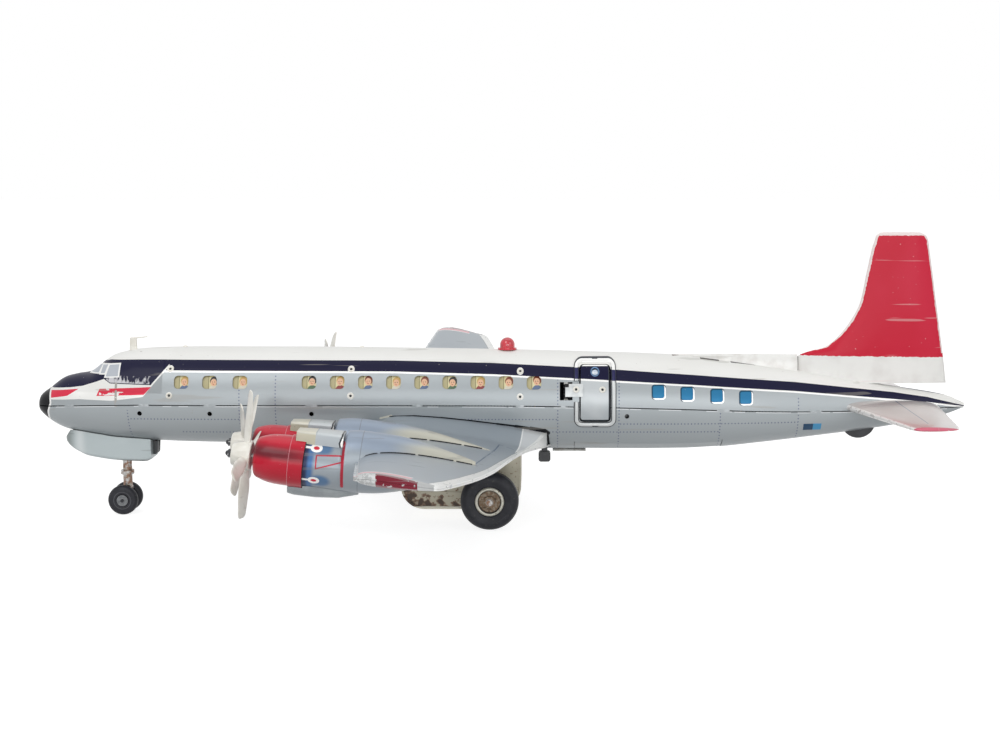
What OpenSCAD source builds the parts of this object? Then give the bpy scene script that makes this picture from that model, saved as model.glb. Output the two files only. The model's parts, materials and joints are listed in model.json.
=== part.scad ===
// Four-engined tin toy airliner, battery driven.
// Nose towards -X, port side towards -Y, the wheels stand on z = 0.

/* [Fuselage] */
// Distance from the nose tip to the tail tip
body_length = 560; // [540:1:580]
// Height of the roof above the ground
roof_z = 102; // [100:0.5:106]
// Height of the belly above the ground
belly_z = 40; // [38:0.5:41]
// Half of the greatest width of the fuselage
body_half_w = 27; // [26:0.5:30]
// Height of the seam between the upper and the lower shell
seam_z = 70; // [68:0.5:72]
// Thickness of the tin sheet
sheet = 0.8; // [0.6:0.1:1]

/* [Windows] */
// Width of a window opening
window_w = 8.6; // [6:0.2:10]
// Height of a window opening
window_h = 7.5; // [5:0.1:8]
// Corner radius of a window opening
window_r = 2.4; // [1:0.1:2.5]
// Height of the window centres above the seam
window_rise = 13.5; // [12:0.1:14]
// Pitch of the windows in the long row
window_pitch = 16.6; // [14:0.1:17]
// Number of windows in the long row
window_count = 9; // [4:1:9]
// Place of the first window of the long row
window_first_x = -113; // [-118:0.5:-110]

/* [Cabin door] */
// Place of the front edge of the door
door_x = 47.4; // [46:0.2:50]
// Width of the door
door_w = 16.9; // [14:0.1:18]
// Height of the door sill above the ground
door_sill_z = 61; // [59:0.5:63]
// Height of the door
door_h = 32; // [28:0.5:33]
// Gap all round the door
door_gap = 0.9; // [0.8:0.05:1.2]
// Width of the raised bead round the door
bead_w = 3.2; // [2:0.1:4]
// Height of the raised bead above the skin
bead_h = 1.2; // [0.6:0.1:1.4]

/* [Wings] */
// Half of the span
half_span = 294; // [280:1:310]
// Thickness of the upper half of the wing at the root
wing_rise = 8.4; // [6:0.2:10]
// Thickness of the lower half of the wing at the root
wing_drop = 5; // [3:0.2:6]
// Height of the root fillet on the side of the fuselage
fillet_rise = 7; // [3:0.5:8]
// Width of the folded flange round the wing
flange_w = 1.4; // [0.8:0.1:2]

/* [Engines] */
// Distance of the inboard engines from the middle
inboard_y = 78; // [76:1:84]
// Distance of the outboard engines from the middle
outboard_y = 160; // [156:1:170]
// Largest radius of a cowling
cowl_r = 13; // [12.4:0.1:14]
// Length of the front bowl of a cowling
bowl_l = 18.3; // [16:0.1:20]
// Length of the flap band of a cowling
band_l = 7.7; // [6:0.1:9]
// Nose-up tilt of the engines in degrees
engine_tilt = 7; // [4:0.5:9]
// Radius of a propeller
prop_r = 34.5; // [30:0.5:36]
// Number of blades of a propeller
blade_count = 4; // [2:1:4]
// Radius of a propeller shaft
shaft_r = 1; // [0.8:0.1:1.3]
// Radius of an engine motor
engine_motor_r = 10; // [8:0.5:10.5]

/* [Main gear] */
// Radius of a main wheel
main_r = 17; // [15:0.5:18]
// Width of a main wheel
main_w = 12; // [10:0.5:14]
// Distance of the main wheels from the middle
track_half = 45; // [40:0.5:50]
// Place of the main axle
axle_x = -6; // [-10:0.5:0]
// Radius of the main axle
axle_r = 1.75; // [1.5:0.05:1.9]
// Half of the width of the drive pod
pod_half_w = 18; // [16:0.5:19]
// Height of the bottom of the drive pod above the ground
pod_z = 6; // [4:0.5:6.5]

/* [Drive] */
// Gear module
gear_m = 0.7; // [0.6:0.05:0.7]
// Teeth of the axle gear
axle_teeth = 24; // [20:2:24]
// Teeth of the large idler wheel
idler_teeth = 26; // [22:2:26]
// Teeth of the pinions
pinion_teeth = 10; // [10:1:12]
// Radius of the drive motor
drive_motor_r = 10; // [8:0.5:10]

/* [Nose gear] */
// Radius of a nose wheel
nose_r = 9; // [8:0.5:10]
// Width of a nose wheel
nose_w = 5.6; // [4:0.2:6]
// Distance of the nose strut behind the nose tip
nose_strut_back = 52; // [50:0.5:56]
// Radius of the nose strut
strut_r = 2.75; // [2:0.05:3]

/* [Tail] */
// Height of the top of the fin above the ground
fin_top_z = 170.8; // [160:0.5:175]
// Thickness of the fin at its base
fin_t = 8; // [6:0.5:9]
// Distance of the tailplane tips from the middle
tailplane_half = 95; // [85:1:105]
// Radius of the tail roller
roller_r = 10.5; // [9:0.5:11]

/* [Battery bay] */
// Radius of a battery cell
cell_r = 16.4; // [13:0.1:16.4]
// Length of a battery cell
cell_l = 60; // [50:0.5:61]
// Length of the battery hatch
hatch_l = 88; // [70:1:90]
// Half of the width of the battery hatch
hatch_half_w = 17; // [16.6:0.2:18]

/* [Hidden] */
$fn = 48;

// Clearances: between still pieces, round a press fit and round a turning shaft
gap = 0.1;
press = 0.02;
running = 0.05;
eps = 0.01;

tail_x = body_length / 2;
nose_x = -body_length / 2;
nose_strut_x = nose_x + nose_strut_back;

// Fuselage stations behind the nose tip: place, drop of the roof line, rise of the belly line,
// half width missing from the widest part, and drop of the seam
NOSE = [[0, 34, 26, 26, 3.2], [1.5, 29.5, 22.8, 21.8, 3.1], [7.5, 24.7, 17.4, 16.8, 2.8],
        [16, 18.5, 12.8, 12, 2], [24, 16.2, 10.9, 8.8, 1.5], [33, 14.4, 9, 6.4, 1],
        [40.7, 8.6, 7.7, 5, 0.7], [46.5, 4.8, 6.8, 4, 0.5], [54, 2.6, 6.2, 3.1, 0.3],
        [65, 0.9, 5.6, 2, 0], [90, 0, 4.5, 0.8, 0], [130, 0, 3.6, 0, 0]];
TAIL = [[-430, 0, 3, 0, 0], [-376, 0.2, 2.1, 0, 0], [-278, 1.7, 0.8, 0, 0.2],
        [-236, 2.7, 0, 0, 0.8], [-177, 4.8, 0, 0.3, 2.2], [-149, 7.8, 1.2, 1.6, 3.2],
        [-125, 11, 3.7, 4, 4.2], [-97, 15, 7, 8.3, 5], [-48, 23.2, 13.5, 15.6, 5.2],
        [-12, 29.2, 20.6, 23, 4.8], [0, 34.2, 25, 25.8, 4.6]];
STATIONS = concat([for (s = NOSE) [nose_x + s[0], roof_z - s[1], belly_z + s[2],
                                   body_half_w - s[3], seam_z - s[4]]],
                  [for (s = TAIL) if (tail_x + s[0] > nose_x + 131)
                      [tail_x + s[0], roof_z - s[1], belly_z + s[2],
                       body_half_w - s[3], seam_z - s[4]]]);

function span_of(x, i = 0) = (i >= len(STATIONS) - 2 || x < STATIONS[i + 1][0]) ? i : span_of(x, i + 1);
function slope(i, c) =
    let (a = max(i - 1, 0), b = min(i + 1, len(STATIONS) - 1))
    (STATIONS[b][c] - STATIONS[a][c]) / (STATIONS[b][0] - STATIONS[a][0]);
function station(x, c) =
    let (i = span_of(x), p = STATIONS[i], q = STATIONS[i + 1],
         d = q[0] - p[0], t = (x - p[0]) / d)
    p[c] * (2 * t * t * t - 3 * t * t + 1) + q[c] * (3 * t * t - 2 * t * t * t)
    + d * slope(i, c) * (t * t * t - 2 * t * t + t) + d * slope(i + 1, c) * (t * t * t - t * t);

function top_z(x) = station(x, 1);
function bottom_z(x) = station(x, 2);
function half_width(x) = station(x, 3);
function seam_at(x) = station(x, 4);

// A point of the skin at angle a above the seam, grown outwards by g; side is -1 to port
function skin_point(x, a, g, side) =
    let (h = a >= 0 ? top_z(x) - seam_at(x) : seam_at(x) - bottom_z(x))
    [x, side * (half_width(x) + g) * cos(a), seam_at(x) + (h + g) * sin(a)];
// The same skin at a height instead of an angle
function angle_at(x, z) =
    let (s = seam_at(x))
    z >= s ? asin((z - s) / (top_z(x) - s)) : -asin((s - z) / (s - bottom_z(x)));
function skin_y(x, z) = half_width(x) * cos(angle_at(x, z));

nose_steps = 11;
nose_run = 96;
XS = concat([for (i = [0 : nose_steps - 1]) nose_x + nose_run * pow(i / nose_steps, 1.7)],
            [for (i = [0 : 5]) nose_x + nose_run + i * (body_length - nose_run - 180) / 6],
            [for (i = [0 : 9]) tail_x - 180 + i * 20]);
arc_steps = 10;

// A closed solid through a list of rings that have the same number of points
module loft(rings) {
    n = len(rings[0]);
    m = len(rings);
    polyhedron(points = [for (r = rings) for (p = r) p],
               faces = concat([[for (j = [0 : n - 1]) j]],
                              [for (i = [0 : m - 2]) for (j = [0 : n - 1]) for (half = [0, 1])
                                  half == 0 ? [i * n + j, (i + 1) * n + j, (i + 1) * n + (j + 1) % n]
                                  : [i * n + j, (i + 1) * n + (j + 1) % n, i * n + (j + 1) % n]],
                              [[for (j = [n - 1 : -1 : 0]) (m - 1) * n + j]]),
               convexity = 6);
}

function full_ring(x, g, n) =
    [for (j = [0 : n - 1]) let (a = 360 * j / n)
        let (h = a <= 180 ? top_z(x) - seam_at(x) : seam_at(x) - bottom_z(x))
        [x, (half_width(x) + g) * cos(a), seam_at(x) + (h + g) * sin(a)]];
function half_ring(x, g, up, over) =
    let (h = up > 0 ? top_z(x) - seam_at(x) : seam_at(x) - bottom_z(x),
         arc = [for (j = [0 : arc_steps]) let (a = 180 * j / arc_steps)
                   [x, up * (half_width(x) + g) * cos(a), seam_at(x) + up * (h + g) * sin(a)]])
    over == 0 ? arc
    : concat(arc, [[x, -up * (half_width(x) + g), seam_at(x) - up * over],
                   [x, up * (half_width(x) + g), seam_at(x) - up * over]]);

// The outer form of the fuselage between two places, for trimming what sits on it
module body_form(x0, x1, g, step) {
    n = ceil((x1 - x0) / step);
    loft([for (i = [0 : n]) full_ring(x0 + (x1 - x0) * i / n, g, 2 * arc_steps)]);
}

module half_shell(up) {
    difference() {
        loft([for (x = XS) half_ring(x, 0, up, 0)]);
        loft([for (x = XS) if (x > nose_x + 3 && x < tail_x - 12) half_ring(x, -sheet, up, 1)]);
    }
}

// A curved patch of sheet that follows the skin between two places and two angles
module skin_patch(x0, x1, a0, a1, g0, g1, side, steps) {
    n = round((a1 - a0) / 6);
    function row(x) =
        concat([for (j = [0 : n]) skin_point(x, a0 + (a1 - a0) * j / n, g1, side)],
               [for (j = [n : -1 : 0]) skin_point(x, a0 + (a1 - a0) * j / n, g0, side)]);
    rows = [for (i = [0 : steps]) row(side > 0 ? x0 + (x1 - x0) * i / steps
                                               : x1 - (x1 - x0) * i / steps)];
    loft(rows);
}

// Pushes a flat outline drawn as x and z through the object along Y
module through(y0, y1) {
    translate([0, y1, 0]) rotate([90, 0, 0]) linear_extrude(y1 - y0) children();
}

module round_rect(x, z, w, h, r) {
    translate([x + r, z]) square([w - 2 * r, h]);
    translate([x, z + r]) square([w, h - 2 * r]);
    for (i = [r, w - r], k = [r, h - r]) translate([x + i, z + k]) circle(r);
}

// Window places: three by themselves in front, then the long row
front_windows = [-188.6, -171.8, -153.8];
WINDOWS = concat(front_windows,
                 [for (i = [0 : window_count - 1]) window_first_x + i * window_pitch]);

module window_cuts() {
    for (x = WINDOWS)
        through(-body_half_w - 5, body_half_w + 5)
            round_rect(x - window_w / 2, seam_at(x) + window_rise - window_h / 2,
                       window_w, window_h, window_r);
}

// Door measures
door_top_z = door_sill_z + door_h;
hinge_x = door_x - 8.8;
hinge_y = body_half_w - 2.7;
hinge_z0 = seam_z + 4;
hinge_z1 = seam_z + 12.4;
knuckle_r = 1.2;
lug_reach = 1.5;
pin_r = 0.6;
slot_x0 = hinge_x - 3.2;
slot_x1 = hinge_x + 3.9;

module door_cut(extra) {
    through(-body_half_w - 5, 0)
        round_rect(door_x - door_gap - extra, door_sill_z - door_gap - extra,
                   door_w + 2 * (door_gap + extra), door_h + 2 * (door_gap + extra), 2.6);
}

module hinge_slot() {
    translate([slot_x0, -body_half_w - 5, hinge_z0 - lug_reach])
        cube([slot_x1 - slot_x0, 15, hinge_z1 - hinge_z0 + 2 * lug_reach]);
}

// Four small round holes in a row under the seam
side_holes = [nose_x + 66.4, WINDOWS[1], WINDOWS[3] + 1.4, door_x + 27.3];
side_hole_r = 1.4;

beacon_x = 3.6;
mast_x = nose_x + 56.1;
mast_foot_r = 2.2;

module fuselage_top() color("gainsboro") difference() {
    half_shell(1);
    window_cuts();
    door_cut(0);
    hinge_slot();
    translate([beacon_x, 0, roof_z - 8]) cylinder(r = lamp_r + 0.3, h = 12);
    translate([mast_x, 0, roof_z - 10]) cylinder(r = mast_r + gap, h = 20);
}

module fuselage_bottom() color("lightsteelblue") difference() {
    half_shell(-1);
    door_cut(0);
    for (x = side_holes)
        translate([x, 0, seam_at(x) - 5]) rotate([90, 0, 0])
            cylinder(r = side_hole_r, h = 4 * body_half_w, center = true);
    translate([pod_x0 - 0.3, -pod_half_w - 0.3, 0])
        cube([pod_x1 - pod_x0 + 0.6, 2 * pod_half_w + 0.6, belly_z + 25]);
    hatch_hole(0.3);
    translate([lever_x - 2.2, -lever_y - 1.5, 0])
        cube([lever_travel + 4.4, 3, belly_z + 12]);
    translate([roller_x - roller_r - 1, -roller_w / 2 - 0.5, 0])
        cube([2 * roller_r + 2, roller_w + 1, roller_z]);
    translate([nose_strut_x, 0, 0]) cylinder(r = pivot_r + gap, h = belly_z + 12);
}

module window_strip(side) color("wheat")
    skin_patch(WINDOWS[0] - 13, WINDOWS[len(WINDOWS) - 1] + 9, 10, 40,
               -sheet - 1, -sheet - 0.5, side, 8);

// Cabin door
module cabin_door() color("silver") difference() {
    intersection() {
        skin_patch(door_x - 2, door_x + door_w + 2, -30, 60, -sheet, 0, -1, 4);
        through(-body_half_w - 5, 0) round_rect(door_x, door_sill_z, door_w, door_h, 2.2);
    }
    translate([door_x + door_w / 2, 0, seam_z + 18.5]) rotate([90, 0, 0])
        cylinder(r = 1.9, h = body_half_w + 5);
}

module door_frame() color("white") difference() {
    intersection() {
        skin_patch(door_x - 6, door_x + door_w + 6, -45, 75, 0.05, bead_h, -1, 4);
        through(-body_half_w - 5, 0)
            round_rect(door_x - bead_w - door_gap, door_sill_z - bead_w - door_gap,
                       door_w + 2 * (bead_w + door_gap), door_h + 2 * (bead_w + door_gap), 5);
    }
    door_cut(0.2);
    hinge_slot();
    translate([slot_x1 - 1, -body_half_w - 5, hinge_z0 - 1])
        cube([5, 15, hinge_z1 - hinge_z0 + 2]);
}

// The arm that carries the door runs from the hinge knuckle out through the slot
arm_mid_z = (hinge_z0 + hinge_z1) / 2;
arm_h = hinge_z1 - hinge_z0 - 0.4;
arm_lean = atan(tan(angle_at(hinge_x, arm_mid_z)) * half_width(hinge_x) / (top_z(hinge_x) - seam_at(hinge_x)));
module door_arm() color("gray") difference() {
    union() {
        translate([hinge_x + 2.6, -skin_y(hinge_x, arm_mid_z) - 0.12, arm_mid_z]) rotate([-arm_lean, 0, 0])
            translate([0, -0.8, -arm_h / 2]) cube([door_x + 4 - hinge_x - 2.6, 0.8, arm_h]);
        translate([hinge_x, -hinge_y, arm_mid_z - 2]) rotate([0, 0, -42])
            translate([0, -0.6, 0]) cube([4.2, 1.2, 4]);
        translate([hinge_x, -hinge_y, hinge_z0]) cylinder(r = knuckle_r, h = hinge_z1 - hinge_z0);
    }
    translate([hinge_x, -hinge_y, hinge_z0 - 1]) cylinder(r = pin_r + running, h = hinge_z1);
}

// Bracket inside the skin with two lugs that hold the hinge pin
module door_hinge() color("dimgray") {
    translate([hinge_x, -hinge_y, hinge_z0 - 1.2]) cylinder(r = pin_r, h = hinge_z1 - hinge_z0 + 2.4);
    for (z = [hinge_z0 - 1.2, hinge_z1 + 0.2])
        translate([hinge_x - 1.2, -hinge_y - 0.6, z]) cube([2.4, 3.6, 1]);
    translate([hinge_x - 1.2, -hinge_y + 2.2, seam_z - 6])
        cube([2.4, 0.8, hinge_z1 + 1.2 - seam_z + 6]);
    translate([hinge_x - 1.2, -skin_y(hinge_x, seam_z - 6) + sheet + 0.35, seam_z - 6])
        cube([2.4, skin_y(hinge_x, seam_z - 6) - sheet - 0.35 - hinge_y + 3, 0.8]);
}

// Roof fittings
mast_r = 1.1;
mast_top_z = top_z(mast_x) + 8;
module aerial_mast() color("white") {
    translate([mast_x, 0, top_z(mast_x) - 3]) cylinder(r = mast_r, h = 11);
    translate([mast_x, 0, top_z(mast_x) + 0.4]) cylinder(r1 = 2.2, r2 = 1.6, h = 1.2);
    translate([mast_x, 0, mast_top_z]) sphere(r = 2.2);
    translate([mast_x, 0, mast_top_z]) rotate([0, 104, 0]) cylinder(r = 0.45, h = 11);
}

lens_r = 4.5;
lamp_r = 2.6;
beacon_h = 7.2;
module beacon_lens() color("crimson") translate([beacon_x, 0, top_z(beacon_x) + gap]) rotate_extrude()
    difference() {
        union() {
            square([5.7, 1]);
            square([lens_r, beacon_h - lens_r]);
            intersection() {
                translate([0, beacon_h - lens_r]) circle(lens_r);
                square([lens_r, beacon_h]);
            }
        }
        translate([-1, -1]) square([lens_r - 0.8 + 1, beacon_h - lens_r + 1]);
        translate([0, beacon_h - lens_r]) circle(lens_r - 0.8);
        translate([-10, -1]) square([10, 20]);
    }

module beacon_lamp() color("gold") translate([beacon_x, 0, top_z(beacon_x)]) {
    translate([0, 0, -5]) cylinder(r = lamp_r, h = 6);
    translate([0, 0, 1]) sphere(r = 2.2);
}

// Fin edges: height, and distance ahead of the tail tip
fin_root = 101.3;
function fin_le(z) = tail_x - lookup(z, [[60, fin_root], [97, fin_root], [101.7, 85.1], [109.2, 76.2],
                                         [117.6, 69.9], [127.9, 64.7], [146.6, 61], [160.6, 58.2],
                                         [fin_top_z - 2, 56], [fin_top_z, 51.5]]);
function fin_te(z) = tail_x - lookup(z, [[60, 9.5], [96, 13.4], [fin_top_z - 5, 24.5], [fin_top_z, 31.5]]);
function fin_half(z) = lookup(z, [[70, fin_t / 2], [96, fin_t / 2 * 0.8], [fin_top_z - 2, 1.6],
                                  [fin_top_z, 0.8]]);
FIN_Z = [66, 80, 97, 99.5, 101.7, 109.2, 117.6, 127.9, 146.6, 160.6, fin_top_z - 5,
         fin_top_z - 2, fin_top_z];
lens_steps = 5;
// A lens outline between two edges, thinned by g all round
function lens_ring(le, te, half, z, g) =
    let (a = le + 2.5 * g, b = te - 2.5 * g, h = half - g)
    concat([for (i = [0 : lens_steps]) let (u = i / lens_steps)
               [a + (b - a) * (1 - cos(180 * u)) / 2, -max(h * sin(180 * pow(u, 0.8)), 0.25), z]],
           [for (i = [lens_steps : -1 : 0]) let (u = i / lens_steps)
               [a + (b - a) * (1 - cos(180 * u)) / 2, max(h * sin(180 * pow(u, 0.8)), 0.25), z]]);

module tail_fin() color("firebrick") difference() {
    loft([for (z = FIN_Z) lens_ring(fin_le(z), fin_te(z), fin_half(z), z, 0)]);
    loft([for (z = FIN_Z) if (z < fin_top_z - 4 && z != 80 && z != 101.7)
              lens_ring(fin_le(z), fin_te(z), fin_half(z), z == FIN_Z[0] ? z - 1 : z, 0.6)]);
    body_form(tail_x - fin_root - 18, tail_x - 1, 0.1, 17);
}

// Dorsal fillet: a ridge that rises from the roof to the foot of the fin
dorsal_l = 78.5;
dorsal_steps = 5;
dorsal_x0 = tail_x - fin_root - 0.2 - dorsal_l;
module dorsal_fillet() color("white") difference() {
    loft([for (i = [0 : dorsal_steps])
              let (t = i / dorsal_steps, x = dorsal_x0 + t * dorsal_l,
                   h = 3.2 * sin(90 * t), crest = roof_z - 4.8 + 0.4 * sin(180 * t))
              [[x, h, top_z(x) - 12], [x, h, top_z(x) - 1],
               [x, h * 0.6, max(crest - 1.2, top_z(x) - 0.5)], [x, 0, crest],
               [x, -h * 0.6, max(crest - 1.2, top_z(x) - 0.5)], [x, -h, top_z(x) - 1],
               [x, -h, top_z(x) - 12]]]);
    body_form(dorsal_x0 - 4, dorsal_x0 + dorsal_l + 5, 0.1, 15);
}

// Tailplane: place out along Y, both edges as distances ahead of the tail tip, half thickness
tailplane_z = seam_z - 3;
TAILPLANE = [[4, 76.5, 17.5, 4], [12, 74.5, 18, 3.8], [tailplane_half - 12, 54, 24, 2],
             [tailplane_half - 3, 51.5, 25.5, 1.5], [tailplane_half, 47, 30, 0.8]];
module tailplane(side) color("thistle") difference() {
    loft([for (s = TAILPLANE) [for (p = lens_ring(tail_x - s[1], tail_x - s[2], s[3], 0, 0))
                                  [p[0], side * s[0], tailplane_z - side * p[1]]]]);
    loft([for (s = TAILPLANE) if (s[0] < tailplane_half - 1)
              [for (p = lens_ring(tail_x - s[1], tail_x - s[2], s[3], 0, 0.6))
                  [p[0], side * (s[0] - (s[0] < 5 ? 2 : 0)), tailplane_z - side * p[1]]]]);
    body_form(tail_x - 90, tail_x - 0.5, 0.1, 15);
}

// Wing stations: place out along Y, leading edge x and z, trailing edge x and z, share of thickness
wing_tip_z = 81;
WING = [[12, -85.4, 48.9, 32, 44.6, 1], [26, -83.8, 50, 27, 45.5, 1], [36, -82.7, 50.6, 20, 46, 0.98],
        [48, -81.4, 51.5, 14.4, 46.6, 0.95], [70, -79, 53, 10.4, 47.5, 0.9],
        [165, -68.8, 61.8, 1.6, 56.3, 0.75], [half_span - 9, -56, wing_tip_z - 1.8, -20.2, 75, 0.34],
        [half_span - 2, -54.4, wing_tip_z - 0.6, -22, 76.2, 0.28], [half_span, -50, wing_tip_z, -27, 77.4, 0.16]];
function wing_at(y, c) = lookup(y, [for (s = WING) [s[0], s[c]]]);
function wing_chord_z(y, u) = wing_at(y, 2) + u * (wing_at(y, 4) - wing_at(y, 2));
function wing_x(y, u) = wing_at(y, 1) + u * (wing_at(y, 3) - wing_at(y, 1));
// Height of a classic aerofoil over its chord, one at its thickest place
function aerofoil(u) = 2.969 * sqrt(u) - 1.26 * u - 3.516 * u * u + 2.843 * u * u * u
                       - 1.036 * u * u * u * u;
function fillet(y, u) = fillet_rise * min(1, u / 0.18) * pow(max(0, 1 - max(0, y - 24) / 24), 2);
US = [0, 0.03, 0.1, 0.2, 0.35, 0.5, 0.65, 0.8, 0.92, 1];

// One half of the wing, above (up = 1) or below the chord, grown by g
function wing_ring(y, side, up, g) =
    let (t = (up > 0 ? wing_rise : wing_drop) * wing_at(y, 5),
         le = wing_at(y, 1), te = wing_at(y, 3),
         over = [for (u = US) [wing_x(y, u), side * y,
                               wing_chord_z(y, u) + up * (t * aerofoil(u) + g)
                               + (up > 0 ? fillet(y, u) : 0)]])
    concat([[le - flange_w, side * y, wing_at(y, 2)], [le - flange_w, side * y, wing_at(y, 2) + up * g]],
           over,
           [[te + flange_w, side * y, wing_at(y, 4) + up * g + (up > 0 ? fillet(y, 1) : 0)],
            [te + flange_w, side * y, wing_at(y, 4)]]);
function cavity_ring(y, side, up) =
    let (t = (up > 0 ? wing_rise : wing_drop) * wing_at(y, 5))
    concat([[wing_x(y, 0.004), side * y, wing_chord_z(y, 0) - up]],
           [for (u = US) [wing_x(y, u == 1 ? 0.985 : u + 0.004), side * y,
                          wing_chord_z(y, u) + up * (t * aerofoil(u) + eps)
                          + (up > 0 ? fillet(y, u) : 0)]],
           [[wing_x(y, 0.985), side * y, wing_chord_z(y, 1) - up]]);
function turned_round(rings, flip) = flip ? [for (i = [len(rings) - 1 : -1 : 0]) rings[i]] : rings;

module pod_clearance() {
    translate([pod_x0 - 0.3, -pod_half_w - 0.3, 0])
        cube([pod_x1 - pod_x0 + 0.6, 2 * pod_half_w + 0.6, 100]);
}

// Space between the two halves of a wing at the folded edge
fold_gap = 0.12;
module wing_skin(side, up) color("lightslategray") translate([0, 0, up > 0 ? 0 : -fold_gap]) difference() {
    loft(turned_round([for (s = WING) wing_ring(s[0], side, up, sheet)], side * up < 0));
    loft(turned_round([for (y = [8, 26, 36, 48, 70, 165, half_span - 2.6])
                          cavity_ring(max(y, 12) - (y < 12 ? 0.5 : 0), side, up)], side * up < 0));
    body_form(-96, 44, 0.1, 35);
    pod_clearance();
}

// The whole wing form, grown a little, for trimming the nacelles
function wing_outline(y, side, g) =
    let (over = wing_ring(y, side, 1, g), under = wing_ring(y, side, -1, g), n = len(over))
    concat([for (i = [1 : n - 2]) over[i]], [for (i = [n - 2 : -1 : 1]) under[i]]);
module wing_form(side, g) {
    loft(turned_round([for (s = WING) if (s[0] > 30 && s[0] < half_span - 5)
                           wing_outline(s[0], side, sheet + g)], side < 0));
}

// Engines: number 1 is the outer one to port, number 4 the outer one to starboard
ENGINES = [[-1, outboard_y], [-1, inboard_y], [1, inboard_y], [1, outboard_y]];
function is_outer(k) = ENGINES[k][1] == outboard_y;
function lip_x(k) = is_outer(k) ? -121.8 : -137.3;
function lip_z(k) = is_outer(k) ? 64.8 : 55.8;
function nacelle_end(k) = is_outer(k) ? 112 : 132;
module at_engine(k) {
    translate([lip_x(k), ENGINES[k][0] * ENGINES[k][1], lip_z(k)]) rotate([0, engine_tilt, 0])
        children();
}
module turned() {
    rotate([0, 90, 0]) rotate_extrude($fn = 72) children();
}

wall = 0.8;
nacelle_r = cowl_r - 0.4;
neck_r = nacelle_r - 0.4;
neck_wall = 1;
// Nacelle outline along its axis: share of its length, crown, keel and half width in radii
NACELLE = [[0, 1, -1, 1], [0.07, 1.13, -1, 1], [0.16, 1.38, -1, 1], [0.28, 1.56, -1, 1],
           [0.42, 1.55, -0.93, 0.98], [0.55, 1.44, -0.75, 0.92], [0.7, 1.2, -0.42, 0.78],
           [0.84, 0.92, 0, 0.55], [0.94, 0.72, 0.3, 0.32], [1, 0.6, 0.5, 0.08]];
nacelle_lift = 2.4;
nacelle_sides = 16;
function nacelle_ring(k, s, g) =
    let (x0 = bowl_l + band_l + gap, x = x0 + s[0] * (nacelle_end(k) - x0),
         lift = is_outer(k) ? 0 : nacelle_lift * sin(min(90, 400 * s[0])),
         top = nacelle_r * s[1] + lift - g, keel = nacelle_r * s[2] + g,
         w = max(nacelle_r * s[3] - g, 0.3), c = (top + keel) / 2, h = max((top - keel) / 2, 0.3))
    [for (j = [0 : nacelle_sides - 1]) let (a = 360 * j / nacelle_sides)
        [x, w * cos(a), c + h * sin(a)]];

module nacelle(k) color("silver") difference() {
    union() {
        at_engine(k) loft([for (s = NACELLE) nacelle_ring(k, s, 0)]);
        at_engine(k) turned() translate([engine_motor_r + press, bowl_l + 1])
            square([neck_r - engine_motor_r - press, 1.6]);
        at_engine(k) turned() translate([neck_r - neck_wall, bowl_l + 1])
            square([neck_wall, band_l + 0.8]);
    }
    at_engine(k) loft([for (s = NACELLE) if (s[0] < 0.9 && s[0] != 0.07)
                           [for (p = nacelle_ring(k, s, wall)) [p[0] - (s[0] == 0 ? 1 : 0), p[1], p[2]]]]);
    wing_form(ENGINES[k][0], fold_gap + gap);
}

lip_r = 7.4;
corner = 3.4;
module cowling(k) color("crimson") at_engine(k) turned() difference() {
    union() {
        translate([lip_r, corner]) circle(corner);
        polygon([[0, 0], [lip_r, 0], [lip_r + corner, corner], [cowl_r - 0.3, 0.55 * bowl_l],
                 [cowl_r, bowl_l], [0, bowl_l]]);
        translate([0, bowl_l]) square([cowl_r + 0.5, band_l]);
    }
    polygon([[-1, wall], [lip_r, wall], [lip_r + corner - wall, corner + 0.4],
             [nacelle_r + gap, bowl_l - 0.4], [nacelle_r + gap, bowl_l + band_l + 1],
             [-1, bowl_l + band_l + 1]]);
    translate([-1, -1]) square([1 + shaft_r + 2, 3]);
    translate([-20, -10]) square([20, 60]);
}

// What the scoop and the cooler sit on: the cowling band, the neck and the nacelle behind it
module engine_core(k, reach) {
    rotate([0, 90, 0]) cylinder(r = cowl_r + 0.5 + gap, h = bowl_l + band_l + gap, $fn = 72);
    rotate([0, 90, 0]) cylinder(r = nacelle_r + gap, h = bowl_l + band_l + 2, $fn = 72);
    loft([for (s = NACELLE) if (s[0] <= reach) nacelle_ring(k, s, -gap)]);
}

// Scoop: a box with rounded shoulders that straddles the band and the nacelle
scoop_w = 13;
scoop_l = 24;
module intake_scoop(k) at_engine(k) difference() {
    intersection() {
        translate([bowl_l + 2, 0, 0]) rotate([90, 0, 90]) linear_extrude(scoop_l) difference() {
            translate([0, 10]) union() {
                translate([-scoop_w / 2, 0]) square([scoop_w, 5.6]);
                translate([-scoop_w / 2 + 2, 0]) square([scoop_w - 4, 7.6]);
                for (s = [-1, 1]) translate([s * (scoop_w / 2 - 2), 5.6]) circle(2);
            }
            translate([-scoop_w / 2 + wall, 0]) square([scoop_w - 2 * wall, 16]);
        }
        through(-20, 20) polygon([[bowl_l + 2, 5], [bowl_l + 2, 15], [bowl_l + 4, 18],
                                  [bowl_l + 2 + scoop_l, 21], [bowl_l + 2 + scoop_l, 5]]);
    }
    engine_core(k, 0.28);
}
module intake_scoops() color("beige") for (k = [0 : 3]) intake_scoop(k);

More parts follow.
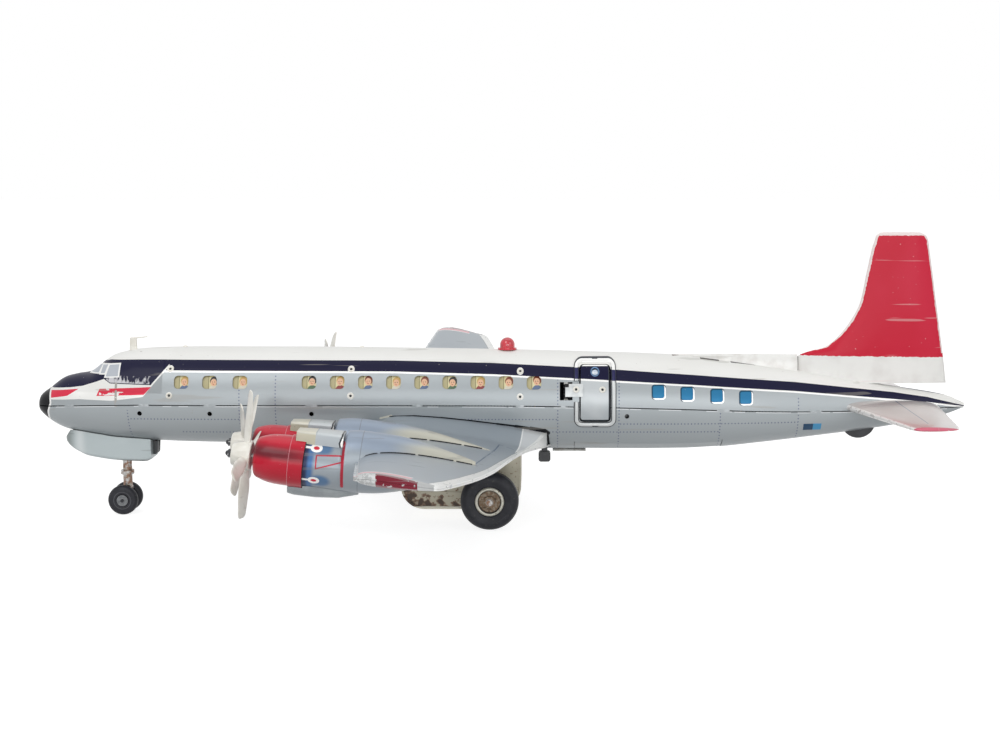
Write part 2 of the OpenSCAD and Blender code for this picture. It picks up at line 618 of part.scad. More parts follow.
// Oil cooler: a half-round pod under each nacelle, open in front and pointed behind
COOLER = [[0, 6, 4.4], [3, 6.6, 5], [14, 6.6, 5], [26, 5.2, 3.9], [36, 1, 0.9]];
cooler_arc = 30;
module oil_cooler(k) at_engine(k) difference() {
    loft([for (s = COOLER) let (x = bowl_l + s[0])
              [for (a = [0 : cooler_arc : 180]) [x, -s[1] * cos(a), -nacelle_r + 3 - (s[2] + 3) * sin(a)]]]);
    loft([for (s = COOLER) if (s[0] < 14) let (x = bowl_l + s[0] - 1)
              [for (a = [0 : cooler_arc : 180]) [x, -(s[1] - wall) * cos(a),
                                           -nacelle_r + 3 - (s[2] + 3 - wall) * sin(a)]]]);
    engine_core(k, 0.42);
}
module oil_coolers() color("darkgray") for (k = [0 : 3]) oil_cooler(k);

motor_front = bowl_l - 1;
module engine_motors() color("gray") for (k = [0 : 3]) at_engine(k) turned() difference() {
    union() {
        translate([0, motor_front]) square([engine_motor_r, 24]);
        translate([0, motor_front - 2]) square([3, 2]);
    }
    translate([-1, motor_front - 3]) square([1 + shaft_r + running, 13]);
    translate([-20, 0]) square([20, 60]);
}

// Propeller: a tapered spinner and blades that twist from root to tip
hub_front = -12;
hub_back = -1.8;
hub_r0 = 5.3;
hub_r1 = 7.3;
blade_x = -4.6;
BLADE = [[0, 3.6, 2.2, 52], [0.22, 5, 1.9, 46], [0.5, 7.4, 1.3, 34], [0.8, 6.6, 0.9, 26], [1, 3, 0.7, 22]];
blade_sides = 6;
module blade() {
    loft([for (s = BLADE) let (r = 4.5 + s[0] * (prop_r - 4.5))
              [for (j = [0 : blade_sides - 1])
                  let (a = 360 * j / blade_sides, c = s[1] / 2 * cos(a), t = s[2] / 2 * sin(a))
                  [blade_x + c * sin(s[3]) + t * cos(s[3]), -c * cos(s[3]) + t * sin(s[3]), r]]]);
}
// Where the first blade of each propeller stands at rest
PROP_TURN = [8, 43, 43, 45];
module propeller(k) color("ivory") at_engine(k) difference() {
    union() {
        turned() polygon([[0, hub_front], [hub_r0 - 0.8, hub_front], [hub_r0, hub_front + 0.8],
                          [hub_r1, hub_back - 1], [hub_r1 - 0.6, hub_back], [0, hub_back]]);
        for (i = [0 : blade_count - 1]) rotate([PROP_TURN[k] + 360 * i / blade_count, 0, 0]) blade();
    }
    rotate([0, 90, 0]) translate([0, 0, hub_front - 1]) cylinder(r = shaft_r + press, h = 20);
}

module prop_shaft(k) color("slategray") at_engine(k) rotate([0, 90, 0]) {
    translate([0, 0, hub_front - 0.5]) cylinder(r = shaft_r, h = motor_front + 9 - hub_front);
    translate([0, 0, hub_front - 1.9]) cylinder(r = 2.3, h = 1.85, $fn = 6);
    translate([0, 0, hub_front - 1.9]) sphere(r = 1.5);
}

// Drive pod: a folded sheet frame with a rounded front corner
pod_x0 = -60;
pod_x1 = 12;
pod_top_z = belly_z + 17;
pod_corner = 14;
pod_sheet = 1;
module pod_side(inset) {
    translate([pod_x0 + pod_corner, pod_z + inset]) square([pod_x1 - pod_x0 - 2 * pod_corner, pod_corner]);
    translate([pod_x0 + inset, pod_z + pod_corner])
        square([pod_x1 - pod_x0 - 2 * inset, pod_top_z - pod_z - pod_corner + 1]);
    for (x = [pod_x0 + pod_corner, pod_x1 - pod_corner])
        translate([x, pod_z + pod_corner]) circle(pod_corner - inset);
}
gear_z = main_r;
idler_d = gear_m * (axle_teeth + pinion_teeth) / 2 + 0.05;
idler_x = axle_x - idler_d * cos(30);
idler_z = gear_z + idler_d * sin(30);
motor_d = gear_m * (idler_teeth + pinion_teeth) / 2 + 0.05;
motor_x = idler_x - motor_d * cos(14);
motor_z = idler_z + motor_d * sin(14);
spindle_r = 1;

module gear_frame() color("tan") difference() {
    union() {
        through(-pod_half_w, pod_half_w) pod_side(0);
        for (s = [-1, 1])
            through(s < 0 ? -pod_half_w - 0.9 : pod_half_w - 0.1, s < 0 ? -pod_half_w + 0.1 : pod_half_w + 0.9)
                intersection() {
                    difference() { pod_side(0); pod_side(1.2); }
                    translate([pod_x0 - 1, 0]) square([80, belly_z]);
                }
    }
    through(-pod_half_w + pod_sheet, pod_half_w - pod_sheet) pod_side(pod_sheet);
    translate([pod_x0 - 2, -pod_half_w - 2, pod_top_z]) cube([80, 2 * pod_half_w + 4, 20]);
    through(-30, 30) translate([axle_x, gear_z]) circle(axle_r + running);
    through(-30, 30) translate([idler_x, idler_z]) circle(spindle_r + running);
}

// Involute tooth outline of a spur gear
function inv_angle(r, rb) = let (p = acos(min(1, rb / r))) tan(p) * 180 / PI - p;
module spur(teeth, turn) {
    rp = gear_m * teeth / 2;
    rb = rp * cos(20);
    ra = rp + gear_m * 0.95;
    rf = rp - gear_m * 1.25;
    half = 90 / teeth - 0.6 / rp + inv_angle(rp, rb);
    rs = [for (i = [0 : 4]) max(rb, rf) + (ra - max(rb, rf)) * i / 4];
    points = [for (t = [0 : teeth - 1]) let (c = turn + 360 * t / teeth)
                 for (p = concat([[rf, -half]], [for (r = rs) [r, -half + inv_angle(r, rb)]],
                                 [for (i = [4 : -1 : 0]) [rs[i], half - inv_angle(rs[i], rb)]], [[rf, half]]))
                     [p[0] * cos(c + p[1]), p[0] * sin(c + p[1])]];
    polygon(points);
}

module axle_gear() color("goldenrod") through(11.4, 16.4) difference() {
    translate([axle_x, gear_z]) spur(axle_teeth, 150);
    translate([axle_x, gear_z]) circle(axle_r + press);
}
module idler_gear() color("ivory") {
    through(11, 16) translate([idler_x, idler_z]) spur(pinion_teeth, 330 + 180 / pinion_teeth);
    through(8, 11) translate([idler_x, idler_z]) spur(idler_teeth, 166);
    through(-pod_half_w - 0.8, pod_half_w + 0.8) translate([idler_x, idler_z]) circle(spindle_r);
}
module motor_pinion() color("goldenrod") {
    through(7.6, 11.4) translate([motor_x, motor_z]) difference() {
        spur(pinion_teeth, 346 + 180 / pinion_teeth);
        circle(spindle_r + press);
    }
    through(-4, 12.2) translate([motor_x, motor_z]) circle(spindle_r);
}
module drive_motor() color("silver") difference() {
    through(-pod_half_w + pod_sheet + press, 5) translate([motor_x, motor_z]) circle(drive_motor_r);
    through(-5, 6) translate([motor_x, motor_z]) circle(spindle_r + running);
}

axle_end = track_half + main_w / 2 + 1.4;
module main_axle() color("slategray") through(-axle_end, axle_end)
    translate([axle_x, gear_z]) circle(axle_r);

hub_r = 8.6;
module round_y(x, z) {
    translate([x, 0, z]) rotate([90, 0, 0]) rotate_extrude($fn = 72) children();
}
module main_hubs() color("gray") for (s = [-1, 1]) translate([0, s * track_half, 0])
    round_y(axle_x, gear_z) difference() {
        union() {
            square([hub_r, main_w / 2 - 1.6]);
            translate([0, -main_w / 2 + 1.6]) square([hub_r, main_w / 2 - 1.6]);
            for (t = [-1, 1]) translate([hub_r - 1.1, t * (main_w / 2 - 1.6)]) circle(1.1);
            translate([0, -main_w / 2]) square([3.4, main_w]);
        }
        translate([-1, -main_w]) square([1 + axle_r + press, 2 * main_w]);
        for (t = [-1, 1]) translate([3.4, t * (main_w / 2 - 0.6)]) translate([0, -1.6]) square([hub_r - 5.4, 3.2]);
    }
module main_tyres() color("#2b2d33") for (s = [-1, 1]) translate([0, s * track_half, 0])
    round_y(axle_x, gear_z) difference() {
        hull() for (t = [-1, 1]) {
            translate([main_r - 4.2, t * (main_w / 2 - 4.2)]) circle(4.2, $fn = 32);
            translate([hub_r + 1, t * (main_w / 2 - 2)]) circle(1.2, $fn = 32);
        }
        translate([0, -main_w]) square([hub_r + press, 2 * main_w]);
    }

// Nose gear
pivot_r = 1.6;
fairing_x0 = nose_x + 17.5;
fairing_x1 = nose_x + 69;
fairing_z = 33.5;
fairing_half_w = 10.5;
module fairing_plan(inset) {
    r = 90;
    intersection() {
        translate([fairing_x0 + 33.5, r - fairing_half_w]) circle(r - inset);
        translate([fairing_x0 + 33.5, -r + fairing_half_w]) circle(r - inset);
        translate([fairing_x0 + inset, -20]) square([fairing_x1 - fairing_x0 - 2 * inset, 40]);
    }
}
// Seen from the side the floor slopes down from a round front to a tight rear corner
front_r = 7;
chin_r = 13;
rear_r = 4;
module fairing_side(inset) {
    hull() {
        translate([fairing_x0 + front_r, fairing_z + 16.5]) circle(front_r - inset);
        translate([fairing_x0 + 18.5, fairing_z + 4 + chin_r]) circle(chin_r - inset);
        translate([fairing_x1 - rear_r, fairing_z + rear_r]) circle(rear_r - inset);
        translate([fairing_x0 + inset, fairing_z + 16.5])
            square([fairing_x1 - fairing_x0 - 2 * inset, 14]);
    }
}
module nose_fairing() color("gainsboro") difference() {
    intersection() {
        translate([0, 0, fairing_z - 1]) linear_extrude(40) fairing_plan(0);
        through(-20, 20) fairing_side(0);
    }
    intersection() {
        translate([0, 0, fairing_z - 1]) linear_extrude(50) fairing_plan(sheet);
        through(-20, 20) fairing_side(sheet);
    }
    translate([nose_strut_x, 0, fairing_z - 2]) cylinder(r = strut_r + running, h = 6);
    body_form(fairing_x0 - 12, fairing_x1 + 12, 0.2, 6);
}

nose_axle_r = 1;
nose_gap_half = 3.4;
nose_hub_r = 3.4;
nose_axle_x = nose_strut_x - 1.7;
strut_flange_z = fairing_z + 3.4;
module nose_strut() color("gray") difference() {
    union() {
        translate([nose_strut_x, 0, nose_r + 3]) cylinder(r = strut_r, h = fairing_z + 4 - nose_r - 3);
        translate([nose_strut_x, 0, 24]) cylinder(r = 4, h = 2.4);
        translate([nose_strut_x, 0, fairing_z + 2]) cylinder(r = pivot_r, h = bottom_z(nose_strut_x) + 3 - fairing_z - 2);
        translate([nose_strut_x, 0, strut_flange_z]) cylinder(r = 4.2, h = 1.4);
        through(-nose_gap_half + 0.4, nose_gap_half - 0.4) hull() {
            translate([nose_axle_x, nose_r]) circle(3, $fn = 32);
            translate([nose_strut_x, nose_r + 6]) circle(2.75, $fn = 32);
        }
    }
    through(-20, 20) translate([nose_axle_x, nose_r]) circle(nose_axle_r + running);
}
module nose_hubs() color("gray") {
    through(-nose_gap_half - nose_w - 0.8, nose_gap_half + nose_w + 0.8)
        translate([nose_axle_x, nose_r]) circle(nose_axle_r);
    for (s = [-1, 1]) translate([0, s * (nose_gap_half + nose_w / 2), 0])
        round_y(nose_axle_x, nose_r) translate([0, -nose_w / 2]) square([nose_hub_r, nose_w]);
}
module nose_tyres() color("#2b2d33") for (s = [-1, 1])
    translate([0, s * (nose_gap_half + nose_w / 2), 0]) round_y(nose_axle_x, nose_r) difference() {
        hull() for (t = [-1, 1]) {
            translate([nose_r - 2.4, t * (nose_w / 2 - 2.4)]) circle(2.4, $fn = 32);
            translate([4.4, t * (nose_w / 2 - 1)]) circle(1, $fn = 32);
        }
        translate([0, -nose_w]) square([nose_hub_r + press, 2 * nose_w]);
    }

// Battery hatch: a piece of the belly hung on a pin along its starboard edge
hatch_x = 44;
hatch_pin_y = hatch_half_w + 2.2;
hatch_pin_z = seam_at(hatch_x) - (seam_at(hatch_x) - belly_z) * sqrt(1 - pow(hatch_half_w / body_half_w, 2)) - 1.5;
hatch_pin_r = 0.6;
module hatch_hole(g) {
    translate([hatch_x - g, -hatch_half_w - g, belly_z - 2])
        cube([hatch_l + 2 * g, 2 * (hatch_half_w + g), 12]);
}
module battery_hatch() color("lightsteelblue") difference() {
    union() {
        intersection() {
            difference() {
                body_form(hatch_x - 4, hatch_x + hatch_l + 4, 0, 24);
                body_form(hatch_x - 5, hatch_x + hatch_l + 5, -sheet, 24);
            }
            hatch_hole(0);
        }
        for (x = hatch_barrels) translate([x, 0, 0]) hatch_barrel();
    }
    translate([hatch_x - 5, hatch_pin_y, hatch_pin_z]) rotate([0, 90, 0])
        cylinder(r = hatch_pin_r + running, h = hatch_l + 10);
}
hatch_barrels = [hatch_x + 14, hatch_x + hatch_l - 26];
barrel_l = 12;
module hatch_barrel() {
    translate([0, hatch_pin_y, hatch_pin_z]) rotate([0, 90, 0]) cylinder(r = 1.2, h = barrel_l);
    translate([0, hatch_half_w - 3.5, hatch_pin_z - 1.2 + 0.2]) cube([barrel_l, 5.6, 0.8]);
    translate([0, hatch_half_w - 3.5, hatch_pin_z - 1.2 + 0.2]) cube([barrel_l, 1, 2.4]);
}
module hatch_latch() color("gray") translate([hatch_x - 13, 0, 0]) difference() {
    translate([0, -4, belly_z - 1.3]) cube([20, 8, 0.9]);
    translate([3, -2, belly_z - 3]) cube([6, 4, 6]);
}
// Leaf on the fuselage with lugs that hold the hatch pin
module hatch_hinge() color("gray") {
    translate([hatch_barrels[0] - 2.6, hatch_pin_y, hatch_pin_z]) rotate([0, 90, 0])
        cylinder(r = hatch_pin_r, h = hatch_barrels[1] + barrel_l + 5.2 - hatch_barrels[0]);
    difference() {
        for (x = [hatch_barrels[0] - 2.6, hatch_barrels[0] + barrel_l + 0.4,
                  hatch_barrels[1] - 2.4, hatch_barrels[1] + barrel_l + 0.4])
            translate([x, hatch_pin_y, hatch_pin_z]) rotate([0, 90, 0]) linear_extrude(2) {
                circle(1.2);
                translate([-4, -1.2]) square([4, 2.4]);
            }
        body_form(hatch_x - 6, hatch_x + hatch_l + 6, 0.3, 25);
    }
}

// Switch lever: its place, travel and the flange inside the belly
lever_x = 26;
lever_y = 8;
lever_travel = 4;
lever_flange_t = 0.8;
lever_top_z = belly_z + 3.75 + lever_flange_t;

cell_x0 = pod_x1 + 9;
cell_x1 = cell_x0 + 2 * cell_l + 1.7;
cell_seat = 1.3;
// The cells lie on the rising belly, and clear of the switch lever's flange under them
cell_z = max(bottom_z(cell_x1) + cell_seat + cell_r,
             lever_top_z + 0.3 + sqrt(pow(cell_r, 2) - pow(lever_y - 1.5, 2)));
module battery_cells() color("teal") for (i = [0, 1])
    translate([cell_x0 + i * (cell_l + 1.7), 0, cell_z]) rotate([0, 90, 0]) {
        cylinder(r = cell_r, h = cell_l);
        cylinder(r = 4.5, h = cell_l + 1.5);
    }
// Two upright strips that stand on the inside of the belly at the ends of the cells
contact_t = 0.8;
module battery_contacts() color("goldenrod") intersection() {
    for (x = [cell_x0 - contact_t - 0.4, cell_x1 + 1.8])
        translate([x, -5, belly_z]) cube([contact_t, 10, cell_z + cell_r / 2 - belly_z]);
    body_form(cell_x0 - 15, cell_x1 + 15, -sheet - gap, 40);
}

// Knob below the belly, stem through the slot and a flange that keeps it in
module switch_lever() color("#3a3a3a") translate([lever_x, -lever_y, 0]) {
    through(-3, 3) round_rect(-3.6, belly_z - 6.6, 7.2, 6, 1.6);
    translate([-1.8, -1.2, belly_z - 1]) cube([3.6, 2.4, 5]);
    translate([-3.2, -2, lever_top_z - lever_flange_t]) cube([6.4, 3.5, lever_flange_t]);
}

roller_x = tail_x - 64;
roller_z = 57;
roller_w = 5;
module tail_roller() color("beige") round_y(roller_x, roller_z) difference() {
    translate([0, -roller_w / 2]) square([roller_r, roller_w]);
    translate([-1, -roller_w]) square([1 + 1.5 + running, 2 * roller_w]);
}
module roller_pin() color("gray") difference() {
    union() {
        through(-7, 7) translate([roller_x, roller_z]) circle(1.5);
        for (s = [-1, 1]) translate([roller_x - 3, s * 4.4 - 0.4, roller_z - 8]) cube([6, 0.8, 11]);
    }
    difference() {
        translate([roller_x - 20, -30, 20]) cube([40, 60, 60]);
        body_form(roller_x - 24, roller_x + 24, -sheet - 0.1, 16);
    }
}

// Dome-headed rivets that hold the window strips, square to the skin
rivet_xs = [WINDOWS[0] - 7, (WINDOWS[2] + WINDOWS[3]) / 2 + 45, WINDOWS[len(WINDOWS) - 1] - 8.2];
rivet_angles = [10.5, 41];
module rivets() color("whitesmoke") {
    for (x = rivet_xs, a = rivet_angles, side = [-1, 1]) {
        p = skin_point(x, a, 0.06, side);
        tilt = atan2((half_width(x)) * sin(a), (top_z(x) - seam_at(x)) * cos(a));
        translate(p) rotate([side < 0 ? 90 - tilt : -90 + tilt, 0, 0]) {
            cylinder(r = 1.5, h = 0.5);
            cylinder(r1 = 1, r2 = 0.5, h = 0.9);
        }
    }
}

fuselage_top();
fuselage_bottom();
window_strip(-1);  // window_strip_left
window_strip(1);  // window_strip_right
cabin_door();
door_arm();
door_frame();
door_hinge();
aerial_mast();
beacon_lens();
beacon_lamp();
tail_fin();
dorsal_fillet();
tailplane(-1);  // tailplane_left
tailplane(1);  // tailplane_right
wing_skin(-1, 1);  // wing_top_left
wing_skin(1, 1);  // wing_top_right
wing_skin(-1, -1);  // wing_bottom_left
wing_skin(1, -1);  // wing_bottom_right
nacelle(0);  // nacelle_1
nacelle(1);  // nacelle_2
nacelle(2);  // nacelle_3
nacelle(3);  // nacelle_4
cowling(0);  // cowling_1
cowling(1);  // cowling_2
cowling(2);  // cowling_3
cowling(3);  // cowling_4
intake_scoops();
oil_coolers();
engine_motors();
propeller(0);  // propeller_1
propeller(1);  // propeller_2
propeller(2);  // propeller_3
propeller(3);  // propeller_4
prop_shaft(0);  // prop_shaft_1
prop_shaft(1);  // prop_shaft_2
prop_shaft(2);  // prop_shaft_3
prop_shaft(3);  // prop_shaft_4
gear_frame();
drive_motor();
motor_pinion();
idler_gear();
axle_gear();
main_axle();
main_hubs();
main_tyres();
nose_fairing();
nose_strut();
nose_hubs();
nose_tyres();
battery_hatch();
hatch_latch();
hatch_hinge();
battery_cells();
battery_contacts();
switch_lever();
tail_roller();
roller_pin();
rivets();
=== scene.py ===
"""Looks of a four-engined tin toy airliner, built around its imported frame.

Lengths are in millimetres and turn into metres where a mesh is made. The nose points to -X, the
port side to -Y, and the wheels stand on z = 0, as in the frame.
"""
import json
import math

import bmesh
import bpy
import numpy as np
from mathutils import Matrix, Vector

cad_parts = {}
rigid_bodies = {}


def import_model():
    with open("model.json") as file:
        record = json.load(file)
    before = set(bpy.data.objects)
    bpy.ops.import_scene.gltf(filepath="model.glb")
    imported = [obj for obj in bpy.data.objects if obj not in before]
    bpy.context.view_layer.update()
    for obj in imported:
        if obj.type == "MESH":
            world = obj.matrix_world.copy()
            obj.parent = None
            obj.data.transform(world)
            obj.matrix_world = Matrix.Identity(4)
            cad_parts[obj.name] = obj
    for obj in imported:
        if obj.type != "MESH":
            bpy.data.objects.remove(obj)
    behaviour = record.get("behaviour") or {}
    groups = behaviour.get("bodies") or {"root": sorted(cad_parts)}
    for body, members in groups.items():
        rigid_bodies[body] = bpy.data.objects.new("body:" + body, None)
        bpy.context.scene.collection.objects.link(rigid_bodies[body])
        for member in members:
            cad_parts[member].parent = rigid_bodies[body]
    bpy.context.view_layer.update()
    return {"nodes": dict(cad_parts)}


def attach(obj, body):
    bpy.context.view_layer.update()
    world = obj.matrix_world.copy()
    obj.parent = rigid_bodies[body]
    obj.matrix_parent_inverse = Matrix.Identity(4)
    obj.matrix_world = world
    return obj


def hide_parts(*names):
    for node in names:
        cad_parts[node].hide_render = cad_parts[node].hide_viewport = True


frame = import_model()
MM = 0.001
scene = bpy.context.scene

# Main sizes of the object
LENGTH = 560
ROOF_Z = 102
BELLY_Z = 40
HALF_WIDTH = 27
SEAM_Z = 70
SHEET = 0.8

# Fuselage form: drop of roof, rise of belly, lost half width and drop of seam behind the nose tip
NOSE = [[0, 34, 26, 26, 3.2], [1.5, 29.5, 22.8, 21.8, 3.1], [7.5, 24.7, 17.4, 16.8, 2.8],
        [16, 18.5, 12.8, 12, 2], [24, 16.2, 10.9, 8.8, 1.5], [33, 14.4, 9, 6.4, 1],
        [40.7, 8.6, 7.7, 5, 0.7], [46.5, 4.8, 6.8, 4, 0.5], [54, 2.6, 6.2, 3.1, 0.3],
        [65, 0.9, 5.6, 2, 0], [90, 0, 4.5, 0.8, 0], [130, 0, 3.6, 0, 0]]
TAIL = [[-430, 0, 3, 0, 0], [-376, 0.2, 2.1, 0, 0], [-278, 1.7, 0.8, 0, 0.2],
        [-236, 2.7, 0, 0, 0.8], [-177, 4.8, 0, 0.3, 2.2], [-149, 7.8, 1.2, 1.6, 3.2],
        [-125, 11, 3.7, 4, 4.2], [-97, 15, 7, 8.3, 5], [-48, 23.2, 13.5, 15.6, 5.2],
        [-12, 29.2, 20.6, 23, 4.8], [0, 34.2, 25, 25.8, 4.6]]
NOSE_X, TAIL_X = -LENGTH / 2, LENGTH / 2
WIDEST = [ROOF_Z, BELLY_Z, HALF_WIDTH, SEAM_Z]
SIGNS = [-1, 1, -1, -1]


def stations():
    """Rows of place, roof, belly, half width and seam height."""
    nose, tail = ([[end + row[0]] + [w + sign * d for w, sign, d in zip(WIDEST, SIGNS, row[1:])]
                   for row in rows] for end, rows in ((NOSE_X, NOSE), (TAIL_X, TAIL)))
    return nose + [row for row in tail if row[0] > nose[-1][0] + 1]


def smooth_table(rows, step):
    """A fine table of a smooth curve through rows, for np.interp."""
    rows = np.array(rows, float)
    slopes = np.gradient(rows, axis=0)
    slopes = slopes / np.maximum(slopes[:, :1], 1e-9)
    out = []
    for p, q, m, n in zip(rows[:-1], rows[1:], slopes[:-1], slopes[1:]):
        length = q[0] - p[0]
        for t in np.arange(0, 1, max(step / length, 0.02)):
            out.append(p * (2 * t**3 - 3 * t * t + 1) + q * (3 * t * t - 2 * t**3)
                       + length * m * (t**3 - 2 * t * t + t) + length * n * (t**3 - t * t))
            out[-1][0] = p[0] + t * length
    return np.array(out + [rows[-1]])


BODY = smooth_table(stations(), 1.0)


def body_at(x):
    """Roof height, belly height, half width and seam height at x."""
    return tuple(np.interp(x, BODY[:, 0], BODY[:, c]) for c in range(1, 5))


def skin_point(x, angle, grow=0.0, side=-1):
    """A point of the fuselage skin at an angle in degrees above the seam."""
    top, bottom, width, seam = body_at(x)
    rise = top - seam if angle >= 0 else seam - bottom
    a = math.radians(angle)
    return Vector((x, side * (width + grow) * math.cos(a), seam + (rise + grow) * math.sin(a)))


def skin_y(x, z):
    """Half width of the skin at a height."""
    top, bottom, width, seam = body_at(x)
    share = np.where(z >= seam, (z - seam) / (top - seam), (seam - z) / (seam - bottom))
    return width * np.sqrt(np.clip(1 - share**2, 0, 1))


def skin_normal(x, y, z):
    """Unit normals of the skin at points given as arrays."""
    def form(px, py, pz):
        top, bottom, width, seam = body_at(px)
        rise = np.where(pz >= seam, top - seam, seam - bottom)
        return (py / width)**2 + ((pz - seam) / rise)**2
    d = 0.05
    px = np.clip(x, NOSE_X + d, TAIL_X - d)
    n = np.stack([form(px + d, y, z) - form(px - d, y, z), form(px, y + d, z) - form(px, y - d, z),
                  form(px, y, z + d) - form(px, y, z - d)], axis=1)
    return n / np.maximum(np.linalg.norm(n, axis=1)[:, None], 1e-9)


# Arithmetic on shader values, so that a print is written as formulas
def math_node(operation):
    """A method that adds one Math node behind its number."""
    return lambda self, *others: self.paint.math(operation, self, *others)


class Term:
    """A number inside a material; operators add Math nodes."""

    def __init__(self, paint, socket):
        self.paint = paint
        self.socket = socket

    __add__ = __radd__ = math_node("ADD")
    __mul__ = __rmul__ = __and__ = math_node("MULTIPLY")
    __sub__ = math_node("SUBTRACT")
    __truediv__ = math_node("DIVIDE")
    __mod__ = math_node("FLOORED_MODULO")
    __gt__ = math_node("GREATER_THAN")
    __lt__ = math_node("LESS_THAN")
    __or__ = most = math_node("MAXIMUM")
    least = math_node("MINIMUM")
    __abs__ = math_node("ABSOLUTE")
    floor = math_node("FLOOR")
    root = math_node("SQRT")

    def __rsub__(self, other):
        return self.paint.math("SUBTRACT", other, self)

    def __invert__(self):
        return 1 - self

    def within(self, low, high):
        """1 where the value lies between low and high."""
        return (self > low) & (self < high)

    def ramp(self, low, high):
        """0 at low and 1 at high, smooth between."""
        node = self.paint.add("ShaderNodeMapRange", interpolation_type="SMOOTHSTEP")
        for socket, value in (("Value", self), ("From Min", low), ("From Max", high)):
            self.paint.wire(node.inputs[socket], value)
        return Term(self.paint, node.outputs["Result"])

    def fall(self, low, high):
        """1 at low and 0 at high, smooth between."""
        return 1 - self.ramp(low, high)


def tint(text):
    """A colour written as six hexadecimal digits, as linear light."""
    parts = [int(text[i:i + 2], 16) / 255 for i in (0, 2, 4)]
    return tuple(p / 12.92 if p < 0.04 else ((p + 0.055) / 1.055)**2.4 for p in parts) + (1.0,)


class Paint:
    """A material whose places are millimetres of the frame."""

    def __init__(self, name, colour, rough=0.4, metallic=0.0, coat=0.0, coat_rough=0.08,
                 specular=0.5):
        self.material = bpy.data.materials.new(name)
        self.material.use_nodes = True
        self.nodes = self.material.node_tree.nodes
        self.links = self.material.node_tree.links
        self.shader = self.nodes["Principled BSDF"]
        scaled = self.add("ShaderNodeVectorMath", operation="SCALE")
        scaled.inputs["Scale"].default_value = 1 / MM
        self.links.new(self.add("ShaderNodeTexCoord").outputs["Object"], scaled.inputs[0])
        self.place = scaled.outputs[0]
        split = self.add("ShaderNodeSeparateXYZ")
        self.links.new(self.place, split.inputs[0])
        self.x, self.y, self.z = (Term(self, socket) for socket in split.outputs)
        self.colour = tint(colour)
        self.rough = rough
        self.metal = metallic
        for socket, value in (("Coat Weight", coat), ("Coat Roughness", coat_rough),
                              ("Specular IOR Level", specular)):
            self.shader.inputs[socket].default_value = value

    def add(self, kind, **settings):
        """A new node with its settings."""
        node = self.nodes.new(kind)
        for name, value in settings.items():
            setattr(node, name, value)
        return node

    def wire(self, target, value):
        """Links a value to a socket, or writes a constant on it."""
        if isinstance(value, Term):
            value = value.socket
        if isinstance(value, bpy.types.NodeSocket):
            self.links.new(value, target)
        else:
            target.default_value = value

    def math(self, operation, *values):
        node = self.add("ShaderNodeMath", operation=operation)
        for target, value in zip(node.inputs, values):
            self.wire(target, value)
        return Term(self, node.outputs[0])

    def noise(self, cell, detail=2.0, stretch=(1, 1, 1), shift=0.0):
        """Smooth noise between 0 and 1; cell is its size in millimetres."""
        node = self.add("ShaderNodeTexNoise")
        mapping = self.add("ShaderNodeMapping")
        mapping.inputs["Scale"].default_value = [s / cell for s in stretch]
        mapping.inputs["Location"].default_value = (shift, shift * 0.7, shift * 1.3)
        self.links.new(self.place, mapping.inputs["Vector"])
        self.links.new(mapping.outputs[0], node.inputs["Vector"])
        for socket, value in (("Scale", 1.0), ("Detail", detail), ("Roughness", 0.5)):
            node.inputs[socket].default_value = value
        return Term(self, node.outputs["Fac"])

    def hash(self, value, seed):
        """A random number between 0 and 1 for a whole number."""
        node = self.add("ShaderNodeTexWhiteNoise", noise_dimensions="1D")
        self.wire(node.inputs["W"], value + seed)
        return Term(self, node.outputs["Value"])

    def bent(self, x, points):
        """A line through (x, value) points, as a formula of x."""
        total, slope = points[0][1], 0.0
        for (xa, va), (xb, vb) in zip(points, points[1:]):
            new = (vb - va) / (xb - xa)
            if abs(new - slope) > 1e-9:
                total = (x - xa).most(0.0) * (new - slope) + total
            slope = new
        return total

    def over(self, colour, mask):
        """Lays a colour over the present one where mask is 1."""
        mix = self.add("ShaderNodeMix", data_type="RGBA", clamp_factor=True)
        for socket, value in (("Factor", mask), ("A", self.colour), ("B", tint(colour))):
            self.wire(mix.inputs[socket], value)
        self.colour = mix.outputs["Result"]

    def worn(self, speckle, amount=0.66, fleck=1.6):
        """Small flecks and faint scratches of old tin."""
        spots = self.noise(fleck, 3, shift=11).ramp(amount + 0.06, amount + 0.1)
        scratch = self.noise(9, 2, stretch=(0.12, 1, 2.6), shift=3).ramp(0.665, 0.69)
        self.over(speckle, spots * 0.7)
        self.over(speckle, scratch * 0.3)
        self.rough = scratch * 0.12 + self.rough

    def finish(self, wave=0.05):
        """Links everything to the shader; wave is the soft unevenness of thin tin."""
        height = self.noise(14, 1, shift=5) * wave + self.noise(2.2, 2, shift=8) * (wave * 0.05)
        bump = self.add("ShaderNodeBump")
        for socket, value in (("Distance", MM), ("Strength", 1.0), ("Height", height)):
            self.wire(bump.inputs[socket], value)
        for socket, value in (("Base Color", self.colour), ("Roughness", self.rough),
                              ("Metallic", self.metal), ("Normal", bump.outputs[0])):
            self.wire(self.shader.inputs[socket], value)
        return self.material


# Making pieces
looks = {}


def circle(steps):
    """Angles of a full turn."""
    return [2 * math.pi * i / steps for i in range(steps)]


def dress(mesh, name, body, material, stands_for=(), slot=None, angle=40):
    """Gives a finished mesh its material and body, and hides the imported nodes it stands for."""
    piece = bpy.data.objects.new(name, mesh)
    scene.collection.objects.link(piece)
    mesh.materials.append(material)
    mesh.shade_smooth()
    mesh.set_sharp_from_angle(angle=math.radians(angle))
    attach(piece, body)
    if stands_for:
        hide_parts(*stands_for)


